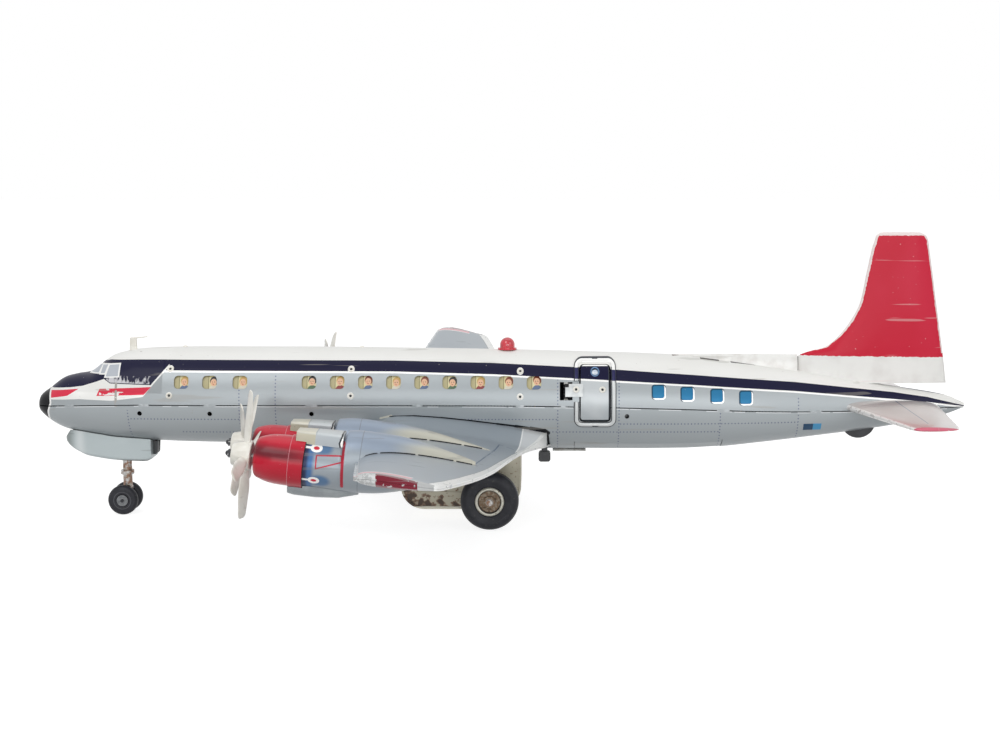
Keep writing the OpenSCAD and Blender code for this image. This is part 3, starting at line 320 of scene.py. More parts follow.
def loft(rings, caps=True, closed=True):
    """Points and faces through rings of equal length."""
    n = len(rings[0])
    points = [p for ring in rings for p in ring]
    faces = []
    for i in range(len(rings) - 1):
        for j in range(n if closed else n - 1):
            k = (j + 1) % n
            faces.append((i * n + j, (i + 1) * n + j, (i + 1) * n + k, i * n + k))
    if caps:
        faces.append(tuple(range(n)))
        faces.append(tuple(range((len(rings) - 1) * n + n - 1, (len(rings) - 1) * n - 1, -1)))
    return points, faces


def joined(parts):
    """One list of points and faces from several."""
    points, faces = [], []
    for p, f in parts:
        faces += [tuple(i + len(points) for i in face) for face in f]
        points += list(p)
    return points, faces


def turned(profile, steps=64, upright=False):
    """A body of revolution about X, or about Z: profile rows are (along, radius)."""
    n = len(profile)
    points, faces = [], []
    for i, a in enumerate(circle(steps)):
        for along, r in profile:
            p = (along, r * math.cos(a), r * math.sin(a))
            points.append(p[1:] + p[:1] if upright else p)
        k = (i + 1) % steps
        faces += [(i * n + j, i * n + j + 1, k * n + j + 1, k * n + j) for j in range(n - 1)]
    return points, faces


def placed(part, matrix):
    points, faces = part
    return [tuple(matrix @ Vector(p)) for p in points], faces


def box_part(low, high):
    x0, y0, z0 = low
    x1, y1, z1 = high
    points = [(x, y, z) for x in (x0, x1) for y in (y0, y1) for z in (z0, z1)]
    faces = [(0, 1, 3, 2), (4, 6, 7, 5), (0, 4, 5, 1), (2, 3, 7, 6), (0, 2, 6, 4), (1, 5, 7, 3)]
    return points, faces


def rounded_outline(x, z, w, h, r, steps=6):
    """Points round a rectangle with round corners, lower left corner at x, z."""
    out = []
    for cx, cz, start in ((x + w - r, z + h - r, 0), (x + r, z + h - r, 90),
                          (x + r, z + r, 180), (x + w - r, z + r, 270)):
        for i in range(steps + 1):
            a = math.radians(start + 90 * i / steps)
            out.append((cx + r * math.cos(a), cz + r * math.sin(a)))
    return out


def prism_y(outline, y0, y1):
    """A flat outline of x and z pushed along Y."""
    return loft([[(x, y, z) for x, z in outline] for y in (y0, y1)])


def disc(x, y, r, steps):
    """Points round a circle."""
    return [(x + r * math.cos(a), y + r * math.sin(a)) for a in circle(steps)]


def rod_z(x, y, r, z0, z1):
    return loft([[(px, py, z) for px, py in disc(x, y, r, 32)] for z in (z0, z1)])


def mesh_from(part, name):
    """A mesh in metres whose faces are turned outwards."""
    points, faces = part
    mesh = bpy.data.meshes.new(name)
    mesh.from_pydata([tuple(c * MM for c in p) for p in points], [], faces)
    mesh.validate()
    fix = bmesh.new()
    fix.from_mesh(mesh)
    bmesh.ops.recalc_face_normals(fix, faces=fix.faces)
    fix.to_mesh(mesh)
    fix.free()
    return mesh


def cut(part, cutters, name):
    """The part less the cutters, as a mesh."""
    whole = bpy.data.objects.new(name, mesh_from(part, name))
    tools = bpy.data.objects.new(name + "_cut", mesh_from(joined(cutters), name + "_cut"))
    for o in (whole, tools):
        scene.collection.objects.link(o)
    work = whole.modifiers.new("cut", "BOOLEAN")
    work.operation = "DIFFERENCE"
    work.solver = "EXACT"
    work.use_self = True
    work.object = tools
    depsgraph = bpy.context.evaluated_depsgraph_get()
    mesh = bpy.data.meshes.new_from_object(whole.evaluated_get(depsgraph))
    for o in (whole, tools):
        old = o.data
        bpy.data.objects.remove(o)
        bpy.data.meshes.remove(old)
    mesh.name = name
    return mesh


def piece(part, name, slot, stands_for=(), body="airframe", look=None, angle=40):
    """A piece in the finish of its slot, or in a look of its own."""
    dress(mesh_from(part, name), name, body, look or looks[slot], stands_for, slot, angle)


# Camera, light and floor
LENS, SHIFT_X = 59.5, -0.042
CAMERA_PLACE, AIM_Z = (0.0245, -0.990, 0.221), 0.0846
WORLD_LIGHT = 0.5
FLOOR_GLOW, FLOOR_COLOUR, FLOOR_HALF = 0.84, 0.42, 6.0
LAMPS = [("key", (-0.7, -1.2, 1.5), (0, 0, 0.08), (1.2, 0.9), 9),
         ("fill", (1.1, -1.0, 0.7), (0, 0, 0.06), (1.0, 0.8), 3),
         ("front", (0.1, -1.9, 0.35), (0, 0, 0.07), (1.8, 0.7), 10),
         ("top", (0, 0.3, 1.6), (0, 0, 0.05), (1.6, 1.0), 3.5)]


def aim_at(o, place, aim):
    """Puts a camera or lamp at a place and turns it to what it looks at."""
    o.location = place
    o.rotation_euler = (Vector(aim) - Vector(place)).to_track_quat("-Z", "Y").to_euler()
    scene.collection.objects.link(o)


def add_camera():
    data = bpy.data.cameras.new("camera")
    data.lens = LENS
    data.sensor_width = 36
    data.shift_x = SHIFT_X
    camera = bpy.data.objects.new("camera", data)
    aim_at(camera, CAMERA_PLACE, (CAMERA_PLACE[0], 0, AIM_Z))
    scene.camera = camera
    scene.view_settings.view_transform = "Standard"


def add_lamp(name, place, aim, size, power):
    data = bpy.data.lights.new(name, "AREA")
    data.shape = "RECTANGLE"
    data.size, data.size_y = size
    data.energy = power
    aim_at(bpy.data.objects.new(name, data), place, aim)


def seen_directly(nodes, links):
    """1 for rays of the camera, of mirrors and of glass."""
    path = nodes.new("ShaderNodeLightPath")
    total = path.outputs["Is Camera Ray"]
    for other in ("Is Glossy Ray", "Is Transmission Ray"):
        both = nodes.new("ShaderNodeMath")
        both.operation = "MAXIMUM"
        links.new(total, both.inputs[0])
        links.new(path.outputs[other], both.inputs[1])
        total = both.outputs[0]
    return total


def add_world():
    world = bpy.data.worlds.new("studio")
    scene.world = world
    world.use_nodes = True
    nodes, links = world.node_tree.nodes, world.node_tree.links
    back = nodes["Background"]
    back.inputs["Color"].default_value = (1, 1, 1, 1)
    level = nodes.new("ShaderNodeMapRange")
    level.inputs["To Min"].default_value = WORLD_LIGHT
    level.inputs["To Max"].default_value = 1.0
    links.new(seen_directly(nodes, links), level.inputs["Value"])
    links.new(level.outputs[0], back.inputs["Strength"])


def add_floor():
    mesh = bpy.data.meshes.new("floor")
    corners = [(x * FLOOR_HALF, y * FLOOR_HALF, 0) for x, y in ((-1, -1), (1, -1), (1, 1), (-1, 1))]
    mesh.from_pydata(corners, [], [(0, 1, 2, 3)])
    floor = bpy.data.objects.new("floor", mesh)
    scene.collection.objects.link(floor)
    material = bpy.data.materials.new("floor")
    material.use_nodes = True
    nodes, links = material.node_tree.nodes, material.node_tree.links
    shader = nodes["Principled BSDF"]
    for socket, value in (("Base Color", (*[FLOOR_COLOUR] * 3, 1)), ("Roughness", 0.9),
                          ("Specular IOR Level", 0.0), ("Emission Color", (1, 1, 1, 1))):
        shader.inputs[socket].default_value = value
    glow = nodes.new("ShaderNodeMath")
    glow.operation = "MULTIPLY"
    links.new(seen_directly(nodes, links), glow.inputs[0])
    glow.inputs[1].default_value = FLOOR_GLOW
    links.new(glow.outputs[0], shader.inputs["Emission Strength"])
    mesh.materials.append(material)


# Livery lines along the fuselage: place and height
BAND_TOP = [(-252, 93.4), (-240, 93.8), (-233, 95.3), (-215, 95.9), (-201, 96), (-64, 95.5), (-4, 94.1),
            (55, 91.3), (114, 87.3), (175, 82.3), (236, 75.2), (257, 71.9), (279, 66.5)]
BAND_LOW = [(-198, 90.1), (-63, 89.6), (-4, 88), (55, 85.1), (114, 81.8), (174, 77.4), (235, 71.4),
            (257, 69), (279, 65.9)]
NAVY, WHITE, SILVER = "101031", "ECECE9", "9FA5A8"
FLASH = "DB3850"
WINDOW_W, WINDOW_H, WINDOW_R, WINDOW_RISE = 8.6, 7.5, 2.4, 13.5
WINDOW_PITCH, WINDOW_COUNT, WINDOW_FIRST = 16.6, 9, -113
FRONT_WINDOWS = [-188.6, -171.8, -153.8]
WINDOWS = FRONT_WINDOWS + [WINDOW_FIRST + i * WINDOW_PITCH for i in range(WINDOW_COUNT)]
BLUE_WINDOWS = [(93.4, 77.8), (110.4, 76.6), (128.1, 75.3), (145.3, 74)]
BLUE_LAYERS = [("4A5560", 0, 4.3, 4.4, 1.9), ("F2F4F4", 0.3, 3.9, 4, 1.8),
               ("1F4A62", -0.35, 3.7, 3.8, 1.5), ("2A719B", -0.1, 3.3, 3.4, 1.3)]
RIVET_XS = [WINDOWS[0] - 7, (WINDOWS[2] + WINDOWS[3]) / 2 + 45, WINDOWS[-1] - 8.2]
RIVET_ANGLES = [10.5, 41]
SIDE_HOLES = [-213.6, -171.8, -111.6, 74.7]
DOOR_X, DOOR_W, DOOR_Z, DOOR_H, DOOR_GAP = 47.4, 16.9, 61, 32, 0.9


def squared(u, v):
    """Square of a distance."""
    return u * u + v * v


def quad_mask(p, corners):
    """1 inside a convex outline of x and z corners given anticlockwise."""
    mask = None
    for (xa, za), (xb, zb) in zip(corners, corners[1:] + corners[:1]):
        length = math.hypot(xb - xa, zb - za)
        side = (p.z - za) * ((xb - xa) / length) - (p.x - xa) * ((zb - za) / length)
        mask = side > 0 if mask is None else mask & (side > 0)
    return mask


def round_mask(p, x, z, r):
    return squared(p.x - x, p.z - z) < r * r


def rounded_box(p, x, z, half_w, half_h, r):
    """1 inside a rectangle with round corners and its centre at x, z."""
    dx = (abs(p.x - x) - (half_w - r)).most(0.0)
    dz = (abs(p.z - z) - (half_h - r)).most(0.0)
    return squared(dx, dz) < r * r


def dots(along, across):
    """1 on small dots along a line."""
    return squared(abs((along % DOT_PITCH) - DOT_PITCH / 2), across) < DOT_R * DOT_R


def stroke(u, v, a, b, half):
    """1 along the straight line from a to b, in any two coordinates u and v."""
    du, dv = b[0] - a[0], b[1] - a[1]
    share = ((u - a[0]) * du + (v - a[1]) * dv) * (1 / (du * du + dv * dv))
    share = share.most(0.0).least(1.0)
    return squared(u - (share * du + a[0]), v - (share * dv + a[1])) < half * half


def oval(u, v, centre, half_u, half_v):
    """Distance from the centre of an ellipse, 1 on its outline."""
    return squared((u - centre[0]) * (1 / half_u), (v - centre[1]) * (1 / half_v)).root()


def print_nose(p):
    """The bands, panes and flashes ahead of the front windows."""
    x, z = p.x, p.z
    ahead = x < -196.5
    white_low = p.bent(x, [(-272, 71.2), (-250.6, 72.8), (-230.2, 72.4), (-211.3, 74.9),
                           (-205.2, 82.2), (-196.6, 92)])
    p.over("EDEDEA", ahead & (z > white_low))
    edge = p.bent(x, [(-272, 77.8), (-256.6, 79.2), (-249, 80.3), (-240.8, 82.9), (-235.5, 84.8),
                      (-231.5, 82.4), (-206.6, 81.8), (-206.1, 82.6), (-197.6, 92.4)])
    top = p.bent(x, BAND_TOP)
    p.over(NAVY, ahead & z.within(edge, top))
    streaks = p.noise(2.4, 3, stretch=(1.4, 1, 0.2), shift=2)
    faded = (streaks + z.fall(82, 87) * 0.2 + x.fall(-232, -214) * 0.12).ramp(0.56, 0.72)
    p.over("DCDCE0", x.within(-234, -206) & (z > edge + 0.5) & (z < 86.8) & (faded * 0.85))
    worn = p.noise(2.6, 3, stretch=(0.5, 1, 1), shift=7)
    for corners in ([(-270.2, 72.3), (-258.5, 74.3), (-251.4, 78.6), (-270.2, 76.6)],
                    [(-239.7, 75), (-210.7, 76.2), (-206.4, 80.7), (-237.8, 79.2)]):
        p.over(FLASH, quad_mask(p, corners))
    rub = x.within(-238, -222) & (worn > 0.54)
    p.over("E9E5E4", rub & z.within(74, 80))
    p.over("A8A5A0", x.within(-228.4, -227) & z.within(69, 83) & (worn > 0.42))
    frames = ([(-235.6, 85.4), (-226, 85.9), (-226.1, 93.9), (-233.9, 93.3)],
              [(-239.3, 87), (-234.9, 87.2), (-233.5, 93.4), (-238.6, 92.9)],
              [(-247.6, 86.9), (-239, 87.4), (-237.6, 93.1), (-243.8, 92.1)])
    panes = ([(-234.5, 86.2), (-227, 86.6), (-227, 93.1), (-233.1, 92.5)],
             [(-238.2, 87.8), (-235.6, 87.9), (-234.3, 92.7), (-237.8, 92.2)],
             [(-246.3, 87.6), (-239.9, 88), (-238.6, 92.4), (-243.2, 91.4)])
    for colour, outlines in (("F2F2F0", frames), ("B9BEC6", panes)):
        for outline in outlines:
            p.over(colour, quad_mask(p, outline))
    tip = x - p.bent(z, [(56, -273), (64.4, -272.4), (69.3, -270.4), (77.5, -271.6), (84, -273)])
    p.over("F0F0EE", tip < 1.2)
    p.over("101014", tip < 0)


DOT_GREY, DOT_PITCH, DOT_R = "6E7488", 2.0, 0.42
DOT_COLUMNS = [(-220.8, 67), (-154.2, 80), (-132.8, 88), (33.8, 88), (70, 84), (130, 66), (177, 74)]
DOT_ROWS = [(61.6, -220.8, -154.2), (53.2, -190, -120), (61.6, -60, 33.8), (58.8, 70, 177),
            (53.6, 10, 130)]


def print_rivet_rows(p):
    """Printed rows of small dots along frames and panels."""
    x, z = p.x, p.z
    low = z < SEAM_Z - 2
    for place, high in DOT_COLUMNS:
        p.over(DOT_GREY, dots(z, x - place) & (z < high))
    for height, start, end in DOT_ROWS:
        p.over(DOT_GREY, dots(x, z - height) & x.within(start, end) & low)


ROOT_US = [0.17, 0.3, 0.45, 0.6, 0.75, 0.85, 0.93, 1]
SLIT_HALF = [0.3, 0.35, 0.4, 0.45, 0.6, 0.9, 1.3, 1.5, 0.6]


def fuselage_paint(name):
    p = Paint(name, SILVER, rough=0.36, coat=0.06, coat_rough=0.1, metallic=0.35, specular=0.16)
    x, z = p.x, p.z
    sheen = p.noise(60, stretch=(0.3, 1, 1), shift=4)
    p.over("AEB4B7", sheen.ramp(0.35, 0.7) * 0.6)
    print_rivet_rows(p)
    top = p.bent(x, BAND_TOP)
    low = p.bent(x, BAND_LOW)
    behind = x > -199
    p.over(WHITE, z > top)
    p.over("F1F1EF", behind & z.within(low - 1, low))
    p.over(NAVY, behind & z.within(low, top))
    seam = p.bent(x, [(row[0], row[4]) for row in stations()])
    # A painted highlight: a light line just under the seam, broken in places.
    highlight_breaks = p.noise(12, 3, stretch=(1, 0.1, 0.1), shift=15) > 0.44
    p.over("D3D7D9", z.within(seam - 0.85, seam - 0.35) & highlight_breaks & (x > -266))
    print_nose(p)
    grime = p.noise(40, 4, stretch=(0.5, 1, 1), shift=9).ramp(0.45, 0.75)
    p.over("D9D8D2", (z > top + 0.4) & (grime * 0.35))
    for place, height in BLUE_WINDOWS:
        for colour, off, half_w, half_h, r in BLUE_LAYERS:
            p.over(colour, rounded_box(p, place + off, height - off, half_w, half_h, r))
    for place in RIVET_XS:
        for angle in RIVET_ANGLES:
            spot = skin_point(place, angle)
            p.over("F4F4F2", round_mask(p, spot.x, spot.z, 2.0))
    root = [wing_point(wing_root(u, 1), u, 1) for u in ROOT_US]
    slit = [(a, b + half * 0.8) for (a, b), half in zip(root, SLIT_HALF)] + [(27.8, 52.9), (28.6, 45)]
    # A short painted highlight at the front end of the wing root's slit.
    p.over("D9D6C8", stroke(x, z, (-71, 62.4), (-64.5, 64), 0.6))
    for half, a, b in zip(SLIT_HALF, slit, slit[1:]):
        p.over("14161B", stroke(x, z, a, b, half))
    joint = [(120, 95.4), (164.4, 90.1), (183.3, 87.2)]
    for a, b in zip(joint, joint[1:]):
        p.over("1A1B24", stroke(x, z, a, b, 0.4) & ((x % 23.0) < 16))
    p.over("8E9197", stroke(x, z, joint[-1], (269.8, 72.7), 0.25))
    p.over("6B5A55", stroke(x, z, (103, 97.1), (165, 97.3), 0.22))
    patch = x.within(180.5, 191.5) & z.within(53.4, 57.6)
    p.over("2E4A66", patch & (p.y < 0))
    p.over("4D93BE", patch & (x > 186.4) & (p.y < 0))
    p.worn("A39F97")
    painted = (z > top) | ((z > low) & behind) | ((x < -200) & (z > 77))
    p.metal = (1 - painted) * 0.35
    return p.finish()


# Fuselage shells, cut as the real sheets are
NOSE_STEPS, NOSE_RUN, TAIL_STEPS, ARC = 44, 96, 116, 44
SHELL_XS = ([NOSE_X + NOSE_RUN * (i / NOSE_STEPS)**1.7 for i in range(NOSE_STEPS)]
            + list(np.linspace(NOSE_X + NOSE_RUN, TAIL_X, TAIL_STEPS)))
GROOVE = 0.3
OUT_Y = 40
HINGE_X = DOOR_X - 8.8
SLOT = ((HINGE_X - 3.6, -OUT_Y, SEAM_Z + 3.2), (HINGE_X + 3.9, -15, SEAM_Z + 13.6))
BEACON_X, MAST_X, NOSE_STRUT_X = 3.6, -223.9, -228
POD = ((-60.3, -18.3, 0), (12.3, 18.3, BELLY_Z + 25))
HATCH = ((43.7, -17.3, 30), (132.3, 17.3, 55))
LEVER_SLOT = ((23.8, -9.5, 20), (32.2, -6.5, 52))
ROLLER_SLOT = ((204.5, -3, 20), (227.5, 3, 57))


def shell_ring(x, up):
    """The sheet's section at x; up is 1 for the upper shell and -1 for the lower."""
    top, bottom, width, seam = body_at(x)
    rise = top - seam if up > 0 else seam - bottom
    edge = math.asin(min(0.5, GROOVE / rise))

    def arc(grow):
        angles = [edge + (math.pi - 2 * edge) * i / ARC for i in range(ARC + 1)]
        return [(x, -max(width + grow, 0.2) * math.cos(a),
                 seam + up * max(rise + grow, 0.2) * math.sin(a)) for a in angles]
    return arc(0) + arc(-SHEET)[::-1]


def both_sides(outline, inner):
    """Cutters through the port and the starboard side."""
    return [prism_y(outline, -OUT_Y, -inner), prism_y(outline, inner, OUT_Y)]


def add_shells():
    door = prism_y(rounded_outline(DOOR_X - DOOR_GAP, DOOR_Z - DOOR_GAP, DOOR_W + 2 * DOOR_GAP,
                                   DOOR_H + DOOR_GAP + 0.3, 2.6), -OUT_Y, -5)
    upper, lower = [], [door]
    for x in WINDOWS:
        z = float(body_at(x)[3]) + WINDOW_RISE
        upper += both_sides(rounded_outline(x - WINDOW_W / 2, z - WINDOW_H / 2, WINDOW_W, WINDOW_H,
                                            WINDOW_R), 8)
    upper += [door, box_part(*SLOT), rod_z(BEACON_X, 0, 2.9, ROOF_Z - 8, ROOF_Z + 4),
              rod_z(MAST_X, 0, 1.2, ROOF_Z - 10, ROOF_Z + 10)]
    for x in SIDE_HOLES:
        lower += both_sides(disc(x, float(body_at(x)[3]) - 5, 1.4, 24), 10)
    lower += [box_part(*box) for box in (POD, HATCH, LEVER_SLOT, ROLLER_SLOT)]
    lower.append(rod_z(NOSE_STRUT_X, 0, 1.7, 30, 52))
    for up, word, node, cutters in ((1, "upper", "top", upper), (-1, "lower", "bottom", lower)):
        name, slot = word + "_shell", f"fuselage_{word}_print"
        mesh = cut(loft([shell_ring(x, up) for x in SHELL_XS]), cutters, name)
        dress(mesh, name, "airframe", looks[slot], ["fuselage_" + node], slot, 34)


# Wings: rows of distance out, front edge, its height, rear edge, its height and share of thickness
WING = [[12, -85.4, 48.9, 29, 44.6, 1], [26, -83.8, 50, 24.5, 45.5, 1], [36, -82.7, 50.6, 19, 46, 0.98],
        [48, -81.4, 51.5, 14, 46.6, 0.95], [70, -79, 53, 9, 48, 0.9],
        [118, -73.8, 57.4, 3.4, 52.8, 0.83], [165, -68.8, 61.8, -1.6, 57.6, 0.75],
        [225, -62.4, 70.2, -8.6, 65.6, 0.55], [285, -56, 78.6, -19, 74.2, 0.34],
        [292, -54.4, 79.6, -22, 75.2, 0.3], [294, -50, 80, -27, 76.2, 0.2]]
WING_FORM = smooth_table(WING, 3)
WING_RISE, WING_DROP, FLANGE_W, FOLD = 8.4, 5, 1.4, 0.12
FILLET, FILLET_Y = 7, 24
HALF_SPAN = 294
ROOT_GUESS, ROOT_ROUNDS, ROOT_DEPTH, ROOT_LEAST = 22.0, 12, 0.3, 12.2
WING_STEPS, SPAN_STEPS, TIP_SHARE = 30, 46, 0.975
WING_US = [(1 - math.cos(math.pi * i / WING_STEPS)) / 2 for i in range(WING_STEPS + 1)]
WING_SPANS = [(i / SPAN_STEPS)**1.25 * TIP_SHARE for i in range(SPAN_STEPS)]
WING_SPANS += [TIP_SHARE, 0.985, 0.993, 1]
SIDES = ((-1, "left"), (1, "right"))


def wing_at(y, c):
    """A column of the wing's table at a distance out."""
    return float(np.interp(y, WING_FORM[:, 0], WING_FORM[:, c]))


def aerofoil(u):
    """Height of a classic aerofoil over its chord, one at its thickest place."""
    return 2.969 * math.sqrt(u) - 1.26 * u - 3.516 * u**2 + 2.843 * u**3 - 1.036 * u**4


def fillet(y, u):
    """Height of the root fillet on the side of the fuselage."""
    return FILLET * min(1, u / 0.18) * max(0, 1 - max(0, y - FILLET_Y) / FILLET_Y)**2


def wing_point(y, u, up):
    """Place and height of the wing's skin at a distance out and a share of the chord."""
    le, te = wing_at(y, 1), wing_at(y, 3)
    chord_z = wing_at(y, 2) + u * (wing_at(y, 4) - wing_at(y, 2))
    thick = (WING_RISE if up > 0 else WING_DROP) * wing_at(y, 5)
    z = chord_z + up * (thick * aerofoil(u) + SHEET) + (fillet(y, u) if up > 0 else 0)
    return le + u * (te - le), z


def wing_root(u, up):
    """Where a line of the wing's skin goes into the fuselage."""
    y = ROOT_GUESS
    for _ in range(ROOT_ROUNDS):
        x, z = wing_point(y, u, up)
        y = 0.5 * y + 0.5 * max(float(skin_y(x, z)) - ROOT_DEPTH, ROOT_LEAST)
    return y


def wing_half(side, up):
    """The sheet of one half of a wing, closed by its flat underside, from root to tip."""
    roots = [wing_root(u, up) for u in WING_US]
    shift = 0 if up > 0 else -FOLD
    edge = up * SHEET
    rings = []
    for s in WING_SPANS:
        ys = [root + s * (HALF_SPAN - root) for root in roots]
        ring = []
        for u, y in zip(WING_US, ys):
            x, z = wing_point(y, u, up)
            ring.append((x, side * y, z + shift))
        rise = edge + (fillet(ys[-1], 1) if up > 0 else 0)
        front, back = ([(wing_at(y, c) + out, side * y, wing_at(y, c + 1) + h + shift) for h in hs]
                       for y, c, out, hs in ((ys[0], 1, -FLANGE_W, (0, edge)),
                                             (ys[-1], 3, FLANGE_W, (rise, 0))))
        rings.append(front + ring + back)
    return loft(rings)


def add_wings():
    for side, word in SIDES:
        for up, half, node in ((1, "upper", "top"), (-1, "lower", "bottom")):
            piece(wing_half(side, up), f"wing_{half}_{word}", f"wing_{half}_print",
                  [f"wing_{node}_{word}"], angle=32)


# Engines: distance from the middle, place and height of the cowling's lip
OUTER, INNER = (160, -121.8, 64.8), (78, -137.3, 55.8)
ENGINES = [(side * e[0], *e[1:]) for side, e in ((-1, OUTER), (-1, INNER), (1, INNER), (1, OUTER))]
BETWEEN = (OUTER[0] + INNER[0]) / 2
TILT = math.radians(7)
BOWL_L, BAND_L, COWL_R, NACELLE_R = 18.3, 7.7, 13, 12.6
NACELLE = [[0, 1, -1, 1], [0.07, 1.13, -1, 1], [0.16, 1.38, -1, 1], [0.28, 1.56, -1, 1],
           [0.42, 1.56, -0.93, 0.98], [0.55, 1.52, -0.75, 0.92], [0.7, 1.36, -0.42, 0.78],
           [0.84, 1.14, 0, 0.55], [0.94, 0.98, 0.3, 0.32], [1, 0.86, 0.5, 0.08]]
NACELLE_FORM = smooth_table(NACELLE, 0.02)
NACELLE_X0 = BOWL_L + BAND_L + 0.1
SCOOP_START, SCOOP_END, SCOOP_HALF, SCOOP_TOP = BOWL_L + 2.2, 44.3, 6.5, 17.6


def is_outer(k):
    return abs(ENGINES[k][0]) > BETWEEN


def nacelle_end(k):
    return 112 if is_outer(k) else 132


def wing_top(x, y):
    """Height of the upper wing skin."""
    le, te = wing_at(y, 1), wing_at(y, 3)
    return wing_point(y, min(max((x - le) / (te - le), 0), 1), 1)[1]


def tilted(dx, dz):
    """Distance behind a cowling's lip along its axis, and height above the axis."""
    return dx * math.cos(TILT) - dz * math.sin(TILT), dx * math.sin(TILT) + dz * math.cos(TILT)


def nacelle_shape(k, u):
    """Half width, middle and half height of a nacelle behind the cowling's lip."""
    s = (u - NACELLE_X0) / (nacelle_end(k) - NACELLE_X0)
    crown, keel, wide = (float(np.interp(s, NACELLE_FORM[:, 0], NACELLE_FORM[:, c])) * NACELLE_R
                         for c in (1, 2, 3))
    behind = min(max((u - SCOOP_END + 0.8) / 3, 0), 1)
    behind = behind * behind * (3 - 2 * behind)
    lift = 0 if is_outer(k) else 2.4 * math.sin(math.radians(min(90, 400 * s)))
    crown = NACELLE_R + (crown + lift - NACELLE_R) * behind
    return max(wide, 0.3), (crown + keel) / 2, max((crown - keel) / 2, 0.3)


def nacelle_edge(k, x):
    """Distance from the middle at which the outboard side of a nacelle meets the wing."""
    y0, lip_x, lip_z = ENGINES[k]
    out = 0.0
    for step in range(61):
        off = step * 0.25
        u, v = tilted(x - lip_x, wing_top(x, y0 + off) - lip_z)
        wide, middle, half = nacelle_shape(k, u)
        if (off / wide)**2 + ((v - middle) / half)**2 < 1:
            out = off
    return y0 + out


def engine_matrix(k):
    y, x, z = ENGINES[k]
    return Matrix.Translation((x, y, z)) @ Matrix.Rotation(TILT, 4, "Y")


def nacelle(k):
    rings = [[(NACELLE_X0 - 5, y, z) for y, z in disc(0, 0, 12.1, 56)]]
    for start, end, steps in ((NACELLE_X0, SCOOP_END - 1, 8), (SCOOP_END - 0.6, SCOOP_END + 3, 8),
                              (SCOOP_END + 5, nacelle_end(k), 44)):
        for u in np.linspace(start, end, steps):
            wide, middle, half = nacelle_shape(k, u)
            rings.append([(u, wide * math.cos(a), middle + half * math.sin(a)) for a in circle(56)])
    return placed(loft(rings), engine_matrix(k))


def scoop(k):
    """The air intake on top: a flat-sided box with an open mouth and round shoulders."""
    def section(u, top, half, low):
        points = [(u, -half, low)]
        for start, cy in ((math.pi, 1.6 - half), (math.pi / 2, half - 1.6)):
            points += [(u, cy + 1.6 * math.cos(start - a), top - 1.6 + 1.6 * math.sin(start - a))
                       for a in np.linspace(0, math.pi / 2, 6)]
        return points + [(u, half, low)]
    rings = [section(u, SCOOP_TOP - 1.7, SCOOP_HALF - 0.8, 8.4) for u in (SCOOP_START + 4, SCOOP_START)]
    for u in np.linspace(SCOOP_START, SCOOP_END, 14):
        t = (u - SCOOP_START) / (SCOOP_END - SCOOP_START)
        top = SCOOP_TOP - 0.9 * (1 - t)**2 + (0.2 if is_outer(k) else 0.9) * t
        rings.append(section(u, top, SCOOP_HALF, 7.6))
    return placed(loft(rings), engine_matrix(k))


def cowling():
    """Profile of the round bowl and its flap band."""
    bowl = [(1, 3), (0.2, 3.3), (0, 4), (0, 7.2)]
    bowl += [(3.4 - 3.4 * math.cos(a), 7.4 + 3.4 * math.sin(a)) for a in np.linspace(0.1, 1.25, 7)]
    bowl += [(5.5, 11.75), (8, 12.35), (11, 12.72), (14.5, 12.9), (BOWL_L - 0.15, COWL_R)]
    r = COWL_R + 0.5
    band = [(BOWL_L - 0.05, r - 0.15), (BOWL_L + 0.15, r), (BOWL_L + BAND_L - 0.2, r),
            (BOWL_L + BAND_L, r - 0.15), (BOWL_L + BAND_L, NACELLE_R + 0.15), (BOWL_L, NACELLE_R + 0.1)]
    return turned(bowl + band, 96)


def add_engines():
    for k in range(4):
        number = str(k + 1)
        piece(nacelle(k), "nacelle_tin_" + number, "nacelle_print", ["nacelle_" + number], angle=50)
        piece(placed(cowling(), engine_matrix(k)), "cowling_bowl_" + number, "cowling_print",
              ["cowling_" + number], angle=30)
    piece(joined([scoop(k) for k in range(4)]), "scoops", "scoop_print", ["intake_scoops"], angle=35)


# Propellers
BLADE = [[0, 3.8, 2.4, 52], [0.22, 5.4, 2, 46], [0.5, 7.4, 1.5, 36], [0.8, 6.8, 1.2, 30],
         [0.94, 6.2, 1.1, 28], [0.985, 5, 1, 27], [1, 3.2, 0.6, 27]]
BLADE_FORM = smooth_table(BLADE, 0.02)
BLADE_X, BLADE_R0, PROP_R = -4.6, 4.5, 34.5
PROP_TURN = [8, 43, 43, 45]
SPINNER = [(-12, 1.02), (-12, 4.9), (-11.8, 5.5), (-11.2, 5.9), (-8, 6.7), (-4, 7.6), (-2.9, 7.8),
           (-2.2, 7.7), (-1.85, 7.2), (-1.8, 6), (-1.8, 1.02)]


def blade():
    rings = []
    for s in [*np.linspace(0, 0.9, 16), 0.94, 0.97, 0.99, 1]:
        chord, thick, pitch = (float(np.interp(s, BLADE_FORM[:, 0], BLADE_FORM[:, c]))
                               for c in (1, 2, 3))
        sine, cosine = math.sin(math.radians(pitch)), math.cos(math.radians(pitch))
        ring = []
        for a in circle(26):
            c, t = chord / 2 * math.cos(a), thick / 2 * math.sin(a)
            ring.append((BLADE_X + c * sine + t * cosine, -c * cosine + t * sine,
                         BLADE_R0 + s * (PROP_R - BLADE_R0)))
        rings.append(ring)
    return loft(rings)


def add_propellers():
    for k in range(4):
        turns = [Matrix.Rotation(math.radians(PROP_TURN[k] + 90 * i), 4, "X") for i in range(4)]
        whole = joined([turned(SPINNER, 14)] + [placed(blade(), turn) for turn in turns])
        number = str(k + 1)
        piece(placed(whole, engine_matrix(k)), "propeller_white_" + number, "white_plastic",
              ["propeller_" + number], "propeller_body_" + number, angle=22)


